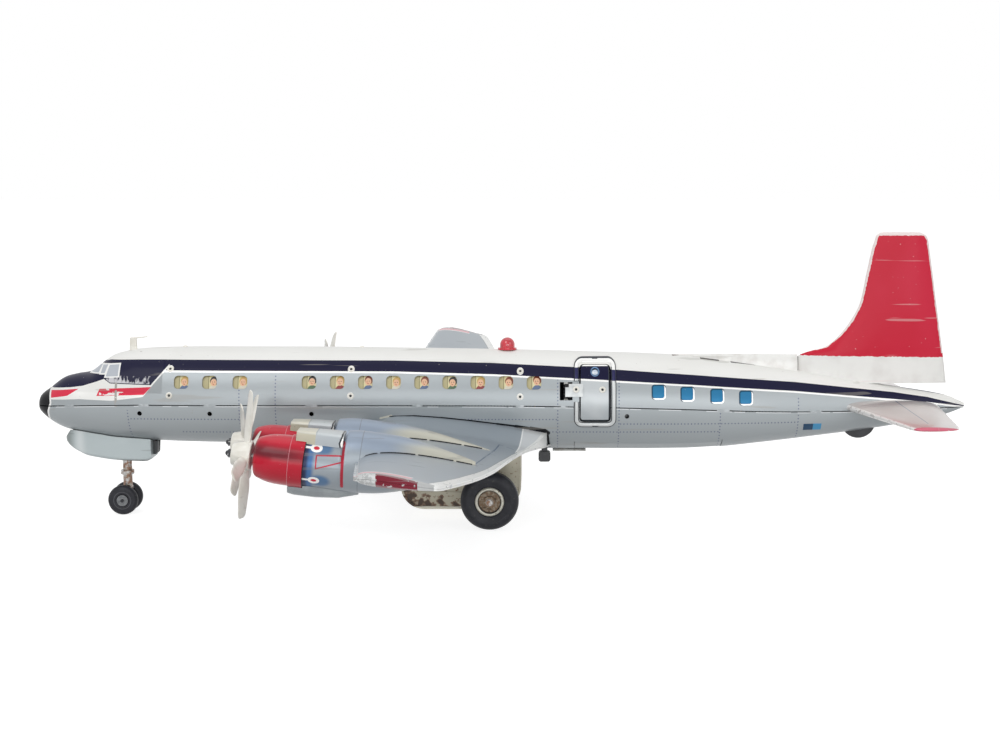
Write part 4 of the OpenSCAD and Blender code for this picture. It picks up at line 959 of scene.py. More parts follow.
# Tail: rows of height, front and rear edge ahead of the tail tip, and half thickness
FIN = [[80, 101.3, 11.2, 3.65], [96, 101.3, 13.4, 3.2], [98.6, 96, 13.8, 3.15],
       [101.7, 85.1, 14.3, 3.1], [109.2, 76.2, 15.5, 2.95], [117.6, 69.9, 16.8, 2.75],
       [127.9, 64.7, 18.5, 2.5], [146.6, 61, 21.4, 2.1], [160.6, 58.2, 23.7, 1.8],
       [166, 56.6, 24.6, 1.65], [169, 55.6, 26.2, 1.4], [170.4, 53.4, 29, 0.9],
       [170.8, 51.5, 31.5, 0.35]]
TAILPLANE = [[4, 76.5, 17.5, 4], [12, 74.5, 18, 3.8], [50, 63.5, 21.2, 2.8], [83, 54, 24, 2],
             [91, 51.6, 25.2, 1.5], [94, 49.3, 27.4, 1], [95, 47, 30, 0.4]]
TAILPLANE_Z = SEAM_Z - 3
DORSAL_L, DORSAL_STEPS, DORSAL_END = 78.5, 30, TAIL_X - 101.5


def lens(front, rear, half, steps=22):
    """A closed lens section: rows of place along X and offset across."""
    out = []
    for side, order in ((-1, range(steps)), (1, range(steps, 0, -1))):
        for i in order:
            u = i / steps
            out.append((front + (rear - front) * (1 - math.cos(math.pi * u)) / 2,
                        side * max(half * math.sin(math.pi * u**0.8), 0.2)))
    return out


def add_tail():
    rings = [[(x, y, z) for x, y in lens(TAIL_X - le, TAIL_X - te, half)]
             for z, le, te, half in smooth_table(FIN, 1.2)]
    piece(loft(rings), "fin", "fin_print", ["tail_fin"], angle=50)
    rings = []
    for i in range(DORSAL_STEPS + 1):
        t = i / DORSAL_STEPS
        x = DORSAL_END - DORSAL_L + t * DORSAL_L
        foot = body_at(x)[0] - 2
        half = 3.2 * math.sin(math.pi / 2 * t) + 0.05
        crest = max(ROOF_Z - 4.8 + 0.4 * math.sin(math.pi * t) - foot, 0.3)
        rings.append([(x, half * math.cos(a), foot + crest * math.sin(a))
                      for a in np.linspace(0, math.pi, 15)])
    piece(loft(rings), "dorsal_ridge", "dorsal_print", ["dorsal_fillet"], angle=60)
    for side, word in SIDES:
        rings = [[(x, side * y, TAILPLANE_Z + h) for x, h in lens(TAIL_X - le, TAIL_X - te, half)]
                 for y, le, te, half in smooth_table(TAILPLANE, 1.5)]
        piece(loft(rings), "tailplane_tin_" + word, "tailplane_print", ["tailplane_" + word], angle=50)


# Cabin door
PEEP_X, PEEP_Z, PEEP_R = DOOR_X + DOOR_W / 2, SEAM_Z + 19.3, 2.1
BEAD_W, BEAD_H, BEAD_OUT = 3.0, 1.2, DOOR_GAP + 0.2
NOTCH_Z0, NOTCH_Z1 = SEAM_Z + 3, SEAM_Z + 13.4
ARM_LIFT, ARM_Z0, ARM_Z1 = 0.95, SEAM_Z + 5.2, SEAM_Z + 12.4
EYELET = [(-0.3, 0.75), (0.28, 0.78), (0.42, 1.05), (0.4, 1.5), (0.25, 1.85), (0, 1.95), (-0.2, 1.95)]
CORE = [(-0.5, 0.02), (0.02, 0.02), (0.02, 0.82), (-0.4, 0.82)]
PANE = [(-0.7, 0.01), (-0.35, 0.01), (-0.38, 0.9), (-0.5, 1.6), (-0.7, 1.88)]


def on_skin(x, z, lift=0.0):
    """A point on the port side at a place and height, lifted off the skin."""
    y = -float(skin_y(x, z))
    n = skin_normal(np.array([x]), np.array([y]), np.array([z]))[0]
    return tuple(Vector((x, y, z)) + Vector(n) * lift)


def skin_matrix(x, z, side=-1, lift=0.0):
    """Turns a piece whose axis is X so that it stands on the skin."""
    y = float(skin_y(x, z))
    n = Vector(skin_normal(np.array([x]), np.array([side * y]), np.array([z]))[0])
    turn = Vector((1, 0, 0)).rotation_difference(n).to_matrix().to_4x4()
    return Matrix.Translation(Vector((x, side * y, z)) + n * lift) @ turn


def door_outline(out, r, step):
    """The door's outline, larger by a margin, with points no further apart than a step."""
    corners = rounded_outline(DOOR_X - out, DOOR_Z - out, DOOR_W + 2 * out, DOOR_H + 2 * out, r, 8)
    fine = []
    for (xa, za), (xb, zb) in zip(corners, corners[1:] + corners[:1]):
        steps = max(1, round(math.hypot(xb - xa, zb - za) / step))
        fine += [(xa + (xb - xa) * i / steps, za + (zb - za) * i / steps) for i in range(steps)]
    return fine


def door_plate():
    """The curved door with its round peep hole, as a sheet of true thickness."""
    wide = door_outline(0, 2.2, 1.5)
    hole = []
    for x, z in wide:
        a = math.atan2(z - PEEP_Z, x - PEEP_X)
        hole.append((PEEP_X + PEEP_R * math.cos(a), PEEP_Z + PEEP_R * math.sin(a)))
    rings = []
    for t in [0, 0.01] + [i / 14 for i in range(1, 14)] + [0.99, 1]:
        flat = [(h[0] + (w[0] - h[0]) * t, h[1] + (w[1] - h[1]) * t) for h, w in zip(hole, wide)]
        rings.append([on_skin(x, z) for x, z in flat])
    rings += [[on_skin(x, z, -SHEET) for x, z in edge] for edge in (wide, hole)]
    return loft(rings + rings[:1], caps=False)


def door_bead():
    """The stamped bead round the door, open where the hinge arm goes through."""
    fine = door_outline(BEAD_OUT + BEAD_W / 2, 3.5, 0.8)
    open_at = [i for i, (x, z) in enumerate(fine) if x < DOOR_X and NOTCH_Z0 < z < NOTCH_Z1]
    path = fine[open_at[-1] + 1:] + fine[:open_at[0]]
    rings = []
    for i, (x, z) in enumerate(path):
        (xa, za), (xb, zb) = path[max(i - 1, 0)], path[min(i + 1, len(path) - 1)]
        length = math.hypot(xb - xa, zb - za)
        nx, nz = (zb - za) / length, -(xb - xa) / length
        ring = []
        for a in np.linspace(0, math.pi, 11):
            w, h = BEAD_W / 2 * math.cos(a), BEAD_H * math.sin(a)
            ring.append(on_skin(x + nx * w, z + nz * w, h if h > 0.01 else -0.2))
        rings.append(ring)
    return loft(rings)


def arm_plate():
    """The flat arm that carries the door over its bead and into the slot."""
    def sheet(x0, x1, steps, outer, inner):
        up = np.linspace(ARM_Z0, ARM_Z1, 7)
        return loft([[on_skin(x, z, outer) for z in up] + [on_skin(x, z, inner) for z in up[::-1]]
                     for x in np.linspace(x0, x1, steps)])
    outside = sheet(HINGE_X - 0.4, DOOR_X + 1.4, 10, ARM_LIFT, ARM_LIFT - 0.8)
    inside = sheet(DOOR_X + 0.6, DOOR_X + 4, 4, -0.85, -1.5)
    low = SEAM_Z + 4
    tube = turned([(low, 0.65), (low, 1.2), (ARM_Z1, 1.2), (ARM_Z1, 0.65), (low, 0.65)], 20, True)
    tube = placed(tube, Matrix.Translation((HINGE_X, 2.7 - HALF_WIDTH, 0)))
    link = box_part((HINGE_X + 0.6, -25.9, SEAM_Z + 6.2), (HINGE_X + 1.6, -24.6, SEAM_Z + 10.2))
    return joined([outside, inside, tube, link])


def eyelets(matrices):
    """Hollow rivets: all rims, and all middles."""
    return (joined([placed(turned(form, steps), m) for m in matrices])
            for form, steps in ((EYELET, 28), (CORE, 20)))


def add_door(dark):
    piece(door_plate(), "door_plate", "door_print", ["cabin_door"], "door", angle=30)
    piece(door_bead(), "door_bead", "door_frame_print", ["door_frame"], angle=50)
    pearl = plain("pearl", "C3CFDF", "E6EBEE", rough=0.25, coat=0.3, cell=2)
    peep = placed(turned(PANE, 32), skin_matrix(PEEP_X, PEEP_Z))
    piece(peep, "peep_pane", None, body="door", look=pearl, angle=60)
    piece(arm_plate(), "door_arm_plate", "door_print", ["door_arm"], "door", arm_paint(), 30)
    rims, cores = eyelets([skin_matrix(x, SEAM_Z + 9.3, lift=up)
                           for x, up in ((60.2, 0), (44.6, ARM_LIFT))])
    piece(rims, "door_eyelets", "white_plastic", body="door")
    piece(cores, "door_eyelet_cores", "dull_steel", body="door", look=dark)


def add_rivets(dark):
    """Hollow rivets of the window strips, and two domes on the roof."""
    white = looks["white_plastic"]
    spots = [skin_point(x, angle) for x in RIVET_XS for angle in RIVET_ANGLES]
    rims, cores = eyelets([skin_matrix(spot.x, spot.z, side) for spot in spots for side in (-1, 1)])
    piece(rims, "strip_eyelets", "bright_steel", ["rivets"], look=white)
    piece(cores, "strip_eyelet_cores", "dull_steel", look=dark)
    dome = turned([(0.7 * math.sin(a), 1.5 * math.cos(a) + 0.01)
                   for a in np.linspace(-0.2, math.pi / 2, 8)], 24)
    upright = Matrix.Rotation(-math.pi / 2, 4, "Y")
    domes = [placed(dome, Matrix.Translation((x, 0, float(body_at(x)[0]))) @ upright)
             for x in (-190.6, -84)]
    piece(joined(domes), "roof_rivets", None, look=white)


MAST_TOP, WIRE_END, WIRE_R = 107.6, MAST_X + 10.6, 0.4


def mast():
    """The flat, tapered aerial post and the wire that leaves its top."""
    base = float(body_at(MAST_X)[0]) - 2.5
    rings = []
    for t in (0, 0.5, 0.9, 0.96, 1):
        z = base + (MAST_TOP - base) * t
        shrink = 1 - 0.16 * t - (0.25 if t == 1 else 0)
        rings.append([(MAST_X + 2 + 2.5 * shrink * math.cos(a), 1.1 * shrink * math.sin(a), z)
                      for a in circle(28)])
    wire = [[(x, y, MAST_TOP - 0.8 + (x - MAST_X) * 0.11 + z) for y, z in disc(0, 0, WIRE_R, 12)]
            for x in (MAST_X + 2, WIRE_END)]
    return joined([loft(rings), loft(wire)])


# Fairing under the nose: rows of place, lowest height and half width
FAIRING = [[-264.4, 46.2, 0.5], [-263.6, 44, 2.4], [-261.6, 42.2, 4.4], [-258.5, 40.3, 6.3],
           [-254.4, 38.5, 8.1], [-250.2, 36.9, 9.4], [-242.6, 35.5, 10.3], [-233.5, 34.2, 10.5],
           [-220, 33.4, 10.4], [-213.6, 33.4, 10.1], [-211.2, 34.6, 9.8]]
FAIRING_RIM, FAIRING_SLOPE, FAIRING_TOP, FAIRING_EDGE = 46.8, 1.29, 56, 2.2


def fairing_skin(shrink, rise):
    """The fairing's form, smaller by a wall when it is its own inside."""
    front, rear = FAIRING[0][0], FAIRING[-1][0]
    rings = []
    for x, low, half in smooth_table(FAIRING, 1.6):
        x = x + shrink * (1 - 2 * (x - front) / (rear - front))
        half = max(half - shrink, 0.2)
        low = low + shrink
        r = min(FAIRING_EDGE, half * 0.8)
        top = max(min(FAIRING_RIM + (x - front) * FAIRING_SLOPE, FAIRING_TOP) + rise, low + r + 0.2)
        side = [(half, top)] + [(half - r + r * math.cos(a), low + r - r * math.sin(a))
                                for a in np.linspace(0, math.pi / 2, 6)]
        rings.append([(x, y, z) for y, z in side] + [(x, -y, z) for y, z in side[::-1]])
    return loft(rings)


def fairing_tin():
    """The fairing as a sheet, cut to the belly and open for the strut."""
    belly = []
    for x in np.linspace(-275, -200, 40):
        _, bottom, width, seam = body_at(x)
        belly.append([(x, (width + 0.5) * math.cos(a), seam + (seam - bottom + 0.5) * math.sin(a))
                      for a in circle(64)])
    hole = rod_z(NOSE_STRUT_X, 0, 2.85, 30, 40)
    return cut(fairing_skin(0, 0), [fairing_skin(SHEET, 6), loft(belly), hole], "nose_fairing_tin")


def steering_bracket():
    """The folded bracket behind the fairing: two lugs and the plate that joins them."""
    side = [(-212.4, 45.6), (-212.4, 37.4), (-211.6, 36.7), (-209.4, 36.7), (-208.6, 37.6),
            (-208.2, 44.6)]
    lugs = [prism_y(side, y, y + 0.8) for y in (-3.6, 2.8)]
    return joined(lugs + [box_part((-209.4, -2.8, 37.6), (-208.6, 2.8, 44.4))])


SEAM_TABS = [(-260, -254), (-214, -208), (-175, -168), (-115, -108), (-52, -46), (9, 14), (35.5, 38.5),
             (128, 135.5), (184, 191)]
TAB_RISE = 0.75


def add_seam_tabs(look):
    """Short folded tabs that bridge the seam between the two shells."""
    section = [(0.12, h) for h in np.linspace(-TAB_RISE, TAB_RISE, 5)]
    section += [(-0.6, TAB_RISE), (-0.6, -TAB_RISE)]
    parts = []
    for x0, x1 in SEAM_TABS:
        for side in (-1, 1):
            rings = []
            for x in np.linspace(x0, x1, 5):
                seam = float(body_at(x)[3])
                rings.append([(x, side * (float(skin_y(x, seam + h)) + lift), seam + h)
                              for lift, h in section])
            parts.append(loft(rings))
    piece(joined(parts), "seam_tabs", "fuselage_upper_print", look=look, angle=30)


# Finishes of the other pieces
def plain(name, colour, other, rough=0.4, metallic=0.0, coat=0.0, cell=8, wave=0.03, wear=None,
          amount=0.66):
    """A finish of two near colours that drift into each other, with flecks of wear."""
    p = Paint(name, colour, rough=rough, metallic=metallic, coat=coat)
    p.over(other, p.noise(cell, 3, shift=2).ramp(0.4, 0.65))
    if wear:
        p.worn(wear, amount, 1.4)
    return p.finish(wave)


SKY = "98A1A9"
WING_STATIONS = (24, 30, 40, 55, 75, 120, 165, 200, 240, 270, 290, 294)


def wing_paint(name, top):
    p = Paint(name, SKY, rough=0.34, metallic=0.35, coat=0.12, coat_rough=0.1, specular=0.3)
    x, y = p.x, abs(p.y)
    p.over("A6AEB4", p.noise(46, stretch=(1, 0.4, 1), shift=6).ramp(0.35, 0.7) * 0.7)
    front, rear = (p.bent(y, [(a, wing_at(a, c)) for a in WING_STATIONS]) for c in (1, 3))
    if top:
        crease = p.noise(3, stretch=(1, 0.2, 1), shift=3).ramp(0.3, 0.45)
        for a, b in (((-0.2, 49.2), (-10, 157.5)), ((-0.2, 49.2), (7.9, 54))):
            p.over("4D6079", stroke(x, y, a, b, 0.4) * crease)
        ragged = p.noise(2.4, 3, shift=12)
        for k, start, end in ((2, -66, -2), (3, -58, -8)):
            base = [(a, nacelle_edge(k, a)) for a in range(start, end + 1, 4)]
            away = y - p.bent(x, base)
            along = x.within(start, end)
            p.over("1B1E26", along & away.within(0.3, 1.3) & ((x % 19.0) < 17))
            # A painted highlight on the lip beside each slit, broken in places.
            p.over("DFE2E2", along & away.within(1.3, 2) & (ragged > 0.42))
        # Painted light: the upturned facet at the wing root's rear is lighter, with a painted highlight
        # along its fold.
        lit_facet = x + (y - 27) * 0.1 - 12.6
        p.over("D3D6D8", (lit_facet > 0) & (y < 64))
        p.over("F0F1F0", lit_facet.within(0, 0.8) & (y < 64))
        # The red tip panel's top is painted pale pink: its own red with a painted sheen of light.
        lit_tip_panel = (y > 283.5) & (x < front + (rear - front) * 0.66)
        p.over("DDA0A9", lit_tip_panel & (ragged > 0.3))
        p.over("E8E3E2", (y > 281.5) & (y < 283.5) & (x < front + (rear - front) * 0.66))
    else:
        p.over("9AA3AA", p.noise(30, 3, shift=21).ramp(0.45, 0.7) * 0.6)
    speckle = p.noise(1.8, 3, stretch=(1, 0.5, 1), shift=14)
    fold = p.bent(y, [(34, 0.7), (110, 1.5), (210, 3.2)])
    # A painted highlight along the rolled rear edge, broken by speckle.
    p.over("E9EAE8", (x > rear - fold) & (speckle > 0.33))
    p.over("8B9095", (abs(x - rear + fold) < 0.25) & (y > 60))
    # A painted highlight along the front edge, broken by speckle.
    p.over("D6D9DA", (x < front + 0.6) & (speckle > 0.46))
    tip = (y > 290.5) & x.within(-47, -29)
    p.over("AFB1B1", (y > 288) & (x < -22))
    p.over("C9CBCB", (y > 288) & (x < -47) & (speckle > 0.52))
    p.over("6E0F24", tip & (speckle < 0.62))
    p.worn("8F9294", amount=0.67)
    return p.finish()


def engine_place(p):
    """Distance behind the cowling's lip and height above its axis, for all four engines."""
    outer = abs(p.y) > BETWEEN
    dx = p.x - INNER[1] - outer * (OUTER[1] - INNER[1])
    dz = p.z - INNER[2] - outer * (OUTER[2] - INNER[2])
    return (*tilted(dx, dz), outer)


def nacelle_paint():
    p = Paint("nacelle_print", "959DA4", rough=0.36, metallic=0.3, coat=0.12, coat_rough=0.1,
              specular=0.3)
    u, v, outer = engine_place(p)
    p.over("8C98A8", v.ramp(9, 14))
    low = [[(a, wing_top(a, nacelle_edge(k, a))) for a in range(-72, 1, 4)] for k in (2, 3)]
    ground = p.bent(p.x, low[0]) * (1 - outer) + p.bent(p.x, low[1]) * outer
    above = p.z - ground
    p.over("BAB8A9", above.fall(3, 6.5) * u.ramp(66, 88) * 0.9)
    slits = p.x.within(-49, -9) * (1 - outer) | p.x.within(-66, -11) * outer
    p.over("15171C", slits & above.within(-1.5, 0.55) & ((p.x % 19.0) < 17.6))
    p.over("41699A", u.fall(29.6, 32.4))
    p.over("1E2749", u.fall(27, 29.2))
    for centre in ((32.3, 9.6), (32.6, -6.5)):
        p.over("3F6A94", oval(u, v, (centre[0] + 2.2, centre[1]), 6, 3.6).fall(0.55, 1.15) * 0.85)
    for centre in ((31.6, 9.6), (31.9, -6.5)):
        p.over("F1F1EF", u.within(25, centre[0]) & (abs(v - centre[1]) < 0.5))
        p.over("F4F3F1", oval(u, v, centre, 3, 1.85) < 1)
        p.over("C8283C", oval(u, v, centre, 1.5, 0.75) < 1)
    p.over("A91F35", stroke(u, v, (45.2, 13.7), (46.2, -8.4), 0.75))
    corners = ((32.2, 6.4), (44.8, 7.5), (45.2, 4.6), (32.5, -0.1))
    for a, b in zip(corners, corners[1:] + corners[:1]):
        p.over("A91F35", stroke(u, v, a, b, 0.36))
    p.over("7C8288", abs(u - 59 + outer * 5) < 0.2)
    p.worn("7E7F80", amount=0.66)
    return p.finish()


def scoop_paint():
    p = Paint("scoop_print", "BCC1C3", rough=0.36, metallic=0.3, coat=0.1, specular=0.3)
    u, v, _ = engine_place(p)
    edge = u - 1.2 * (abs(v - 13) * 0.25).least(1.0)
    # Painted light: the scoop's sides are painted darker as shade, and its top lighter where the light
    # falls on it.
    top = v.ramp(SCOOP_TOP - 2, SCOOP_TOP - 0.6)
    p.over("A1A7AB", 1 - top)
    p.over("ABA795", (u < 30.6) * (1 - top))
    p.over("CDCABB", (u < 30.6) * top)
    p.over("A3A9AC", (abs(u - 30.6) < 0.3))
    p.over("2A2C31", edge > SCOOP_END - 2.2)
    p.over("EDEDEA", edge > SCOOP_END - 1.3)
    # Painted shade inside the open mouth.
    p.over("24262B", (u < SCOOP_START + 0.05) & (v < SCOOP_TOP - 1.6))
    p.worn("77736C")
    return p.finish(0.04)


def cowling_paint():
    p = Paint("cowling_print", "BE1730", rough=0.3, coat=0.2, coat_rough=0.08, specular=0.2)
    u, v, _ = engine_place(p)
    p.over("C61D36", p.noise(14, shift=3).ramp(0.4, 0.65) * 0.7)
    # A painted reflection: a dark maroon zone across each cowling below its top, weaker towards the
    # band.
    p.over("4E0C1B", v.ramp(0.5, 4) * v.fall(5.5, 10.5) * (1 - u.ramp(14, 30) * 0.5) * 0.85)
    p.over("D98C96", (abs(u - BOWL_L - 0.1) < 0.25) * 0.6)
    p.over("2A1016", u > BOWL_L + BAND_L - 0.3)
    p.over("E3B8B8", p.noise(1.2, 3, shift=11).ramp(0.72, 0.76) * 0.7)
    return p.finish()


FIN_RED_LOW = [(160, 97.6), (181, 96.8), (266, 95.6)]


def edges(p, along, rows):
    """Front and rear edge of the fin or a tailplane as formulas."""
    return [p.bent(along, [(row[0], TAIL_X - row[c]) for row in rows]) for c in (1, 2)]


def fin_paint():
    p = Paint("fin_print", WHITE, rough=0.36, coat=0.08, coat_rough=0.1, specular=0.15)
    x, z = p.x, p.z
    p.over("DFDDDA", p.noise(16, 3, shift=3).ramp(0.4, 0.7))
    line = p.bent(x, FIN_RED_LOW)
    rough_edge = p.noise(2, 3, shift=18)
    red = z > line + (rough_edge - 0.5) * 1.4
    p.over("C81D37", red)
    p.over("D2304A", red * p.noise(34, stretch=(1, 1, 0.5), shift=6).ramp(0.35, 0.75) * 0.6)
    front, rear = edges(p, z, FIN)
    p.over("EFE3E1", (x < front + 0.7 + rough_edge * 1.6) & (z > 100))
    p.over("EAD9D8", (x > rear - 0.5 - rough_edge) & (z > 98))
    p.over("EFE3E1", z > 169.3 - rough_edge)
    p.over("23232B", (abs(x - 178.7) < 0.35) & (z < 97))
    p.worn("E9D6D4", amount=0.665, fleck=1.5)
    return p.finish(0.06)


def tailplane_paint():
    p = Paint("tailplane_print", "C9C3C0", rough=0.3, metallic=0.2, coat=0.4, coat_rough=0.12)
    x, y = p.x, abs(p.y)
    p.over("D6D3D0", p.noise(24, stretch=(1, 0.5, 1), shift=6).ramp(0.4, 0.7))
    front, rear = edges(p, y, TAILPLANE)
    speckle = p.noise(1.8, 3, stretch=(1, 0.5, 1), shift=14)
    p.over("F0EEEC", (x < front + 1.2) & (speckle > 0.42))
    p.over("F0EEEC", (x > rear - 0.9) & (speckle > 0.42))
    p.over("6F7F92", stroke(x, y, (236, 12), (239, 84), 0.35))
    p.over("C8506A", (y > 92.6) & (speckle > 0.35))
    p.worn("8E8B88", amount=0.66)
    return p.finish()


def door_paint():
    p = Paint("door_print", "A9AFB2", rough=0.36, coat=0.06, coat_rough=0.12, metallic=0.3,
              specular=0.16)
    x, z = p.x, p.z
    p.over("C2C6C8", p.noise(22, shift=4).ramp(0.35, 0.7) * 0.7)
    low = p.bent(x, BAND_LOW)
    p.over("F1F1EF", (z > low - 1) & (z < low))
    p.over(NAVY, z > low)
    p.over("EDEEEC", z > DOOR_Z + DOOR_H - 0.7)
    # Painted shade along the door's right and lower edges, beside the gap.
    p.over("3A3F46", (x > DOOR_X + DOOR_W - 0.5) | (z < DOOR_Z + 0.5))
    p.over("6F8FB5", round_mask(p, PEEP_X, PEEP_Z, 2.6))
    p.worn("A39F97")
    return p.finish(0.04)


def arm_paint():
    p = Paint("door_arm_tin", "CDD0D0", rough=0.35, metallic=0.3, specular=0.3)
    p.over("BEC2C3", p.noise(5, shift=3).ramp(0.4, 0.6))
    p.over("15161A", (p.x < HINGE_X + 1.7) & (p.y > -25.95))
    p.over("55585C", p.noise(1.2, 3, shift=8).ramp(0.68, 0.72) * 0.7)
    return p.finish(0.02)


def bead_paint():
    p = Paint("bead_print", "D0D3D3", rough=0.34, coat=0.08, coat_rough=0.12, metallic=0.2,
              specular=0.2)
    x, z = p.x, p.z
    low, top = p.bent(x, BAND_LOW), p.bent(x, BAND_TOP)
    p.over("F2F2F0", z > top)
    p.over("262650", (z > low) & (z < top))
    out = BEAD_OUT + BEAD_W
    middle = DOOR_Z + DOOR_H / 2
    whole, inside = (rounded_box(p, PEEP_X, middle, DOOR_W / 2 + margin, DOOR_H / 2 + margin, r)
                     for margin, r in ((out - 0.55, 4.4), (DOOR_GAP + 0.65, 2.6)))
    # A dark line round the bead's outer foot, and painted shade along its inner foot, left out along
    # the lit top.
    p.over("2C3038", ~whole | (inside & (z < DOOR_Z + DOOR_H - 1)))
    p.over("2C3038", (abs(x - PEEP_X) < 1.6) & (abs(z - middle) > DOOR_H / 2 + out - 0.9))
    p.worn("8E8B88", amount=0.66)
    return p.finish(0.03)


HAIR = [(0, "7C3B22"), (0.34, "1E1A18"), (0.67, "C7A25A")]
DRESS = [(0, "5C6F8F"), (0.3, "8E3B3B"), (0.55, "4F6B4E"), (0.8, "D8D2C0")]
FACE = [("E3B592", (1.6, -0.1), 1.8, 2.05, 1), ("CF8F73", (1.0, -0.6), 0.45, 0.4, 0.6),
        ("3A2A22", (0.9, 0.2), 0.28, 0.2, 1), ("3A2A22", (2.2, 0.2), 0.28, 0.2, 1),
        ("A8433C", (1.55, -1.15), 0.5, 0.17, 1)]


def passenger_paint():
    """Simple heads, one at the right of each window, on a khaki ground."""
    p = Paint("passenger_print", "DCD3A6", rough=0.45, coat=0.1)
    p.over("D2C893", p.noise(6, shift=1).ramp(0.4, 0.7))
    for start, pitch, low, high in ((FRONT_WINDOWS[0], 17.4, -200, -140),
                                    (WINDOW_FIRST, WINDOW_PITCH, -140, 40)):
        here = p.x.within(low, high)
        along = p.x - (start - pitch / 2)
        u = along % pitch - pitch / 2
        v = p.z - (SEAM_Z + WINDOW_RISE)
        number = (along / pitch).floor()
        hair, dress = p.hash(number, start), p.hash(number, start + 31)
        tilt = (p.hash(number, start + 7) - 0.5) * 0.9
        p.over("B5AC82", here & (u < -1.3))
        p.over("8F8763", here & (abs(u + 1.3) < 0.25))
        body = oval(u, v, (1.9, -4.7), 3.1, 3.0) < 1
        for level, colour in DRESS:
            p.over(colour, here & body & (dress > level))
        for level, colour in HAIR:
            p.over(colour, here & (oval(u, v + tilt, (1.9, 0.75), 2.45, 2.5) < 1) & (hair > level))
        for colour, centre, half_u, half_v, share in FACE:
            p.over(colour, here & (oval(u, v + tilt, centre, half_u, half_v) < 1) * share)
    return p.finish(0.02)


NOSE_WHEEL, MAIN_WHEEL = (-229.7, 9), (-6, 17)


def from_axle(p, wheel):
    """Distance from a wheel's axle."""
    return squared(p.x - wheel[0], p.z - wheel[1]).root()


def tyre_paint():
    """Dark rubber, with a pale ring painted on the nose tyres as the highlight of their groove."""
    p = Paint("tyre_rubber", "1F2026", rough=0.5, coat=0.0, specular=0.3)
    p.over("2A2B31", p.noise(5, 3, shift=2).ramp(0.4, 0.7))
    p.over("4A4842", p.noise(1.6, 4, shift=5).ramp(0.6, 0.75) * 0.5)
    # Painted highlight: the pale ring on the nose tyres' groove.
    p.over("55565A", (p.x < -200) & from_axle(p, NOSE_WHEEL).within(4.9, 5.4) * 0.7)
    return p.finish()


def hub_paint():
    p = Paint("hub_steel", "6D5A48", rough=0.42, metallic=0.5, specular=0.3)
    r, small = from_axle(p, MAIN_WHEEL), from_axle(p, NOSE_WHEEL)
    grain = p.noise(1.5, 4, shift=2)
    p.over("857A6B", grain.ramp(0.45, 0.6))
    p.over("4F4438", p.noise(2.6, 3, shift=8).ramp(0.55, 0.68))
    main = p.x > -150
    p.over("B9B7AC", main & (r > 6.7) & (grain < 0.62))
    p.over("3B342C", main & (abs(r - 6.5) < 0.3))
    p.over("8C8882", main & (r < 2.3))
    p.over("77797B", ~main)
    p.over("5A5C5F", (~main) * grain.ramp(0.4, 0.6) * 0.6)
    p.over("333437", ~main & (small < 1))
    return p.finish()


def pod_paint():
    p = Paint("pod_tin", "AFAA98", rough=0.42, metallic=0.35, coat=0.1)
    z = p.z
    p.over("C3BEAC", p.noise(16, 3, stretch=(0.4, 1, 1), shift=3).ramp(0.4, 0.7))
    rust = p.noise(3, 4, stretch=(0.8, 1, 1), shift=6)
    low = z.fall(8, 17) * 0.2
    front = p.x.fall(-58, -38) * z.fall(20, 32) * 0.16
    p.over("6A4C38", (rust + low + front).ramp(0.6, 0.68) * 0.9)
    p.over("33261E", (rust + low + front).ramp(0.68, 0.76) * 0.9)
    p.over("77503A", p.noise(1.8, 3, shift=9).ramp(0.64, 0.7) * 0.5)
    p.over("DAD6C8", (z < 7.6))
    p.worn("6E6658", amount=0.64)
    return p.finish(0.06)


def fairing_paint():
    p = Paint("nose_fairing_print", "B7C1C3", rough=0.36, metallic=0.25, coat=0.1, specular=0.3)
    x, z = p.x, p.z
    p.over("C6CED0", p.noise(18, stretch=(0.5, 1, 1), shift=3).ramp(0.35, 0.7) * 0.6)
    # Painted light: shade at the rounded front's tip, a painted highlight band where it turns, and
    # painted shade along the underside.
    p.over("87908F", x.fall(-263, -256))
    p.over("D5DBDC", x.ramp(-259, -254) * x.fall(-254, -249) * 0.8)
    p.over("8A9091", z < 34.4)
    p.worn("7B7F80", amount=0.68)
    return p.finish()


def steel_paint():
    """Bright steel with rusty patches where it stands in the open."""
    p = Paint("bright_steel", "B9BABA", rough=0.32, metallic=0.8)
    p.over("9A948C", p.noise(3, 3, shift=2).ramp(0.4, 0.65))
    rust = ((p.x < -200) | (p.z < 24)) * p.noise(2.2, 4, shift=6).ramp(0.42, 0.56)
    p.over("7B5C48", rust * 0.9)
    p.over("3C3D40", p.x.within(-165, -133) * p.noise(1.5, shift=4).ramp(0.3, 0.45))
    return p.finish(0.02)


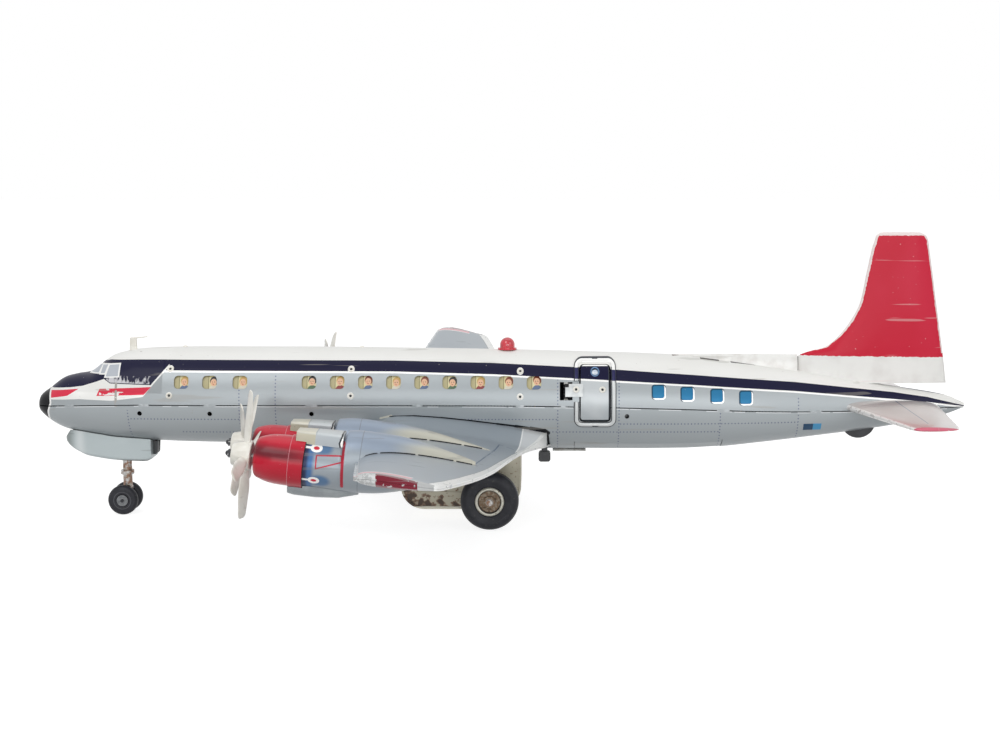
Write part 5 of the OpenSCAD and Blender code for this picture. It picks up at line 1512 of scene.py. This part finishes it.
def finishes():
    """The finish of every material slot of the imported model."""
    skin = fuselage_paint("fuselage_print")
    return {
        "fuselage_upper_print": skin, "fuselage_lower_print": skin,
        "wing_upper_print": wing_paint("wing_upper_print_look", True),
        "wing_lower_print": wing_paint("wing_lower_print_look", False),
        "nacelle_print": nacelle_paint(), "cowling_print": cowling_paint(), "fin_print": fin_paint(),
        "tailplane_print": tailplane_paint(), "door_print": door_paint(),
        "door_frame_print": bead_paint(), "passenger_print": passenger_paint(),
        "tyre_rubber": tyre_paint(), "hub_steel": hub_paint(),
        "pod_tin": pod_paint(), "nose_fairing_print": fairing_paint(), "scoop_print": scoop_paint(),
        "bright_steel": steel_paint(),
        "white_plastic": plain("white_plastic", "ECEAE2", "E2DFD5", rough=0.34, coat=0.25,
                               wear="B9B6AC", amount=0.68),
        "dorsal_print": plain("dorsal", WHITE, "DEDCD8", rough=0.32, coat=0.4, wear="A8A49C"),
        "cooler_print": plain("cooler", "8E9599", "A0A7AA", rough=0.36, metallic=0.25, coat=0.2,
                              wear="5F6163"),
        "red_lens": plain("red_lens", "D0122F", "B80E28", rough=0.12, coat=0.8, cell=3, wave=0.02),
        "lever_plastic": plain("lever", "1E1F23", "2C2D31", coat=0.1),
        "roller_plastic": plain("roller", "25262A", "34353A", rough=0.5),
        "gear_nylon": plain("gear_nylon", "DAD6C4", "CDC8B4", rough=0.45),
        "gear_brass": plain("gear_brass", "B8903C", "9C7A34", rough=0.32, metallic=0.9, cell=3),
        "lamp_brass": plain("lamp_brass", "C29A46", "A98239", rough=0.28, metallic=0.9, cell=3),
        "motor_can": plain("motor_can", "B9BBBD", "A6A9AC", rough=0.3, metallic=0.85),
        "cell_sleeve": plain("cell_sleeve", "3A3F45", "2F3338", rough=0.35, coat=0.5),
        "dull_steel": plain("dull_steel", "9C9D9B", "7C7A74", rough=0.42, metallic=0.7, cell=3,
                            wear="6B5340", amount=0.64),
    }


def dress_cad():
    """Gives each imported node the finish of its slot."""
    for o in scene.objects:
        for place in (o.material_slots if o.name in frame["nodes"] else ()):
            name = place.material.name.split(".")[0] if place.material else ""
            if name in looks:
                place.material = looks[name]


# The whole object
add_camera()
add_world()
add_floor()
for lamp in LAMPS:
    add_lamp(*lamp)
looks.update(finishes())
dress_cad()
# The rivets' middles get near-black discs of painted shade, standing for the shade inside the hollow
# rivets.
hole_shade = plain("painted_hole_shade", "17181B", "222326", rough=0.6)
add_shells()
add_wings()
add_engines()
add_propellers()
add_tail()
add_door(hole_shade)
add_rivets(hole_shade)
piece(mast(), "mast", "white_plastic", ["aerial_mast"], angle=45)
piece(steering_bracket(), "steering_bracket", "dull_steel", angle=30,
      look=plain("bracket_steel", "3A3D40", "4A4C4D", rough=0.5, metallic=0.4, wear="6A5A4A"))
dress(fairing_tin(), "nose_fairing_tin", "airframe", looks["nose_fairing_print"], ["nose_fairing"],
      "nose_fairing_print", 35)
add_seam_tabs(plain("seam_tab", SILVER, "B9BEC1", rough=0.36, metallic=0.3, cell=3))
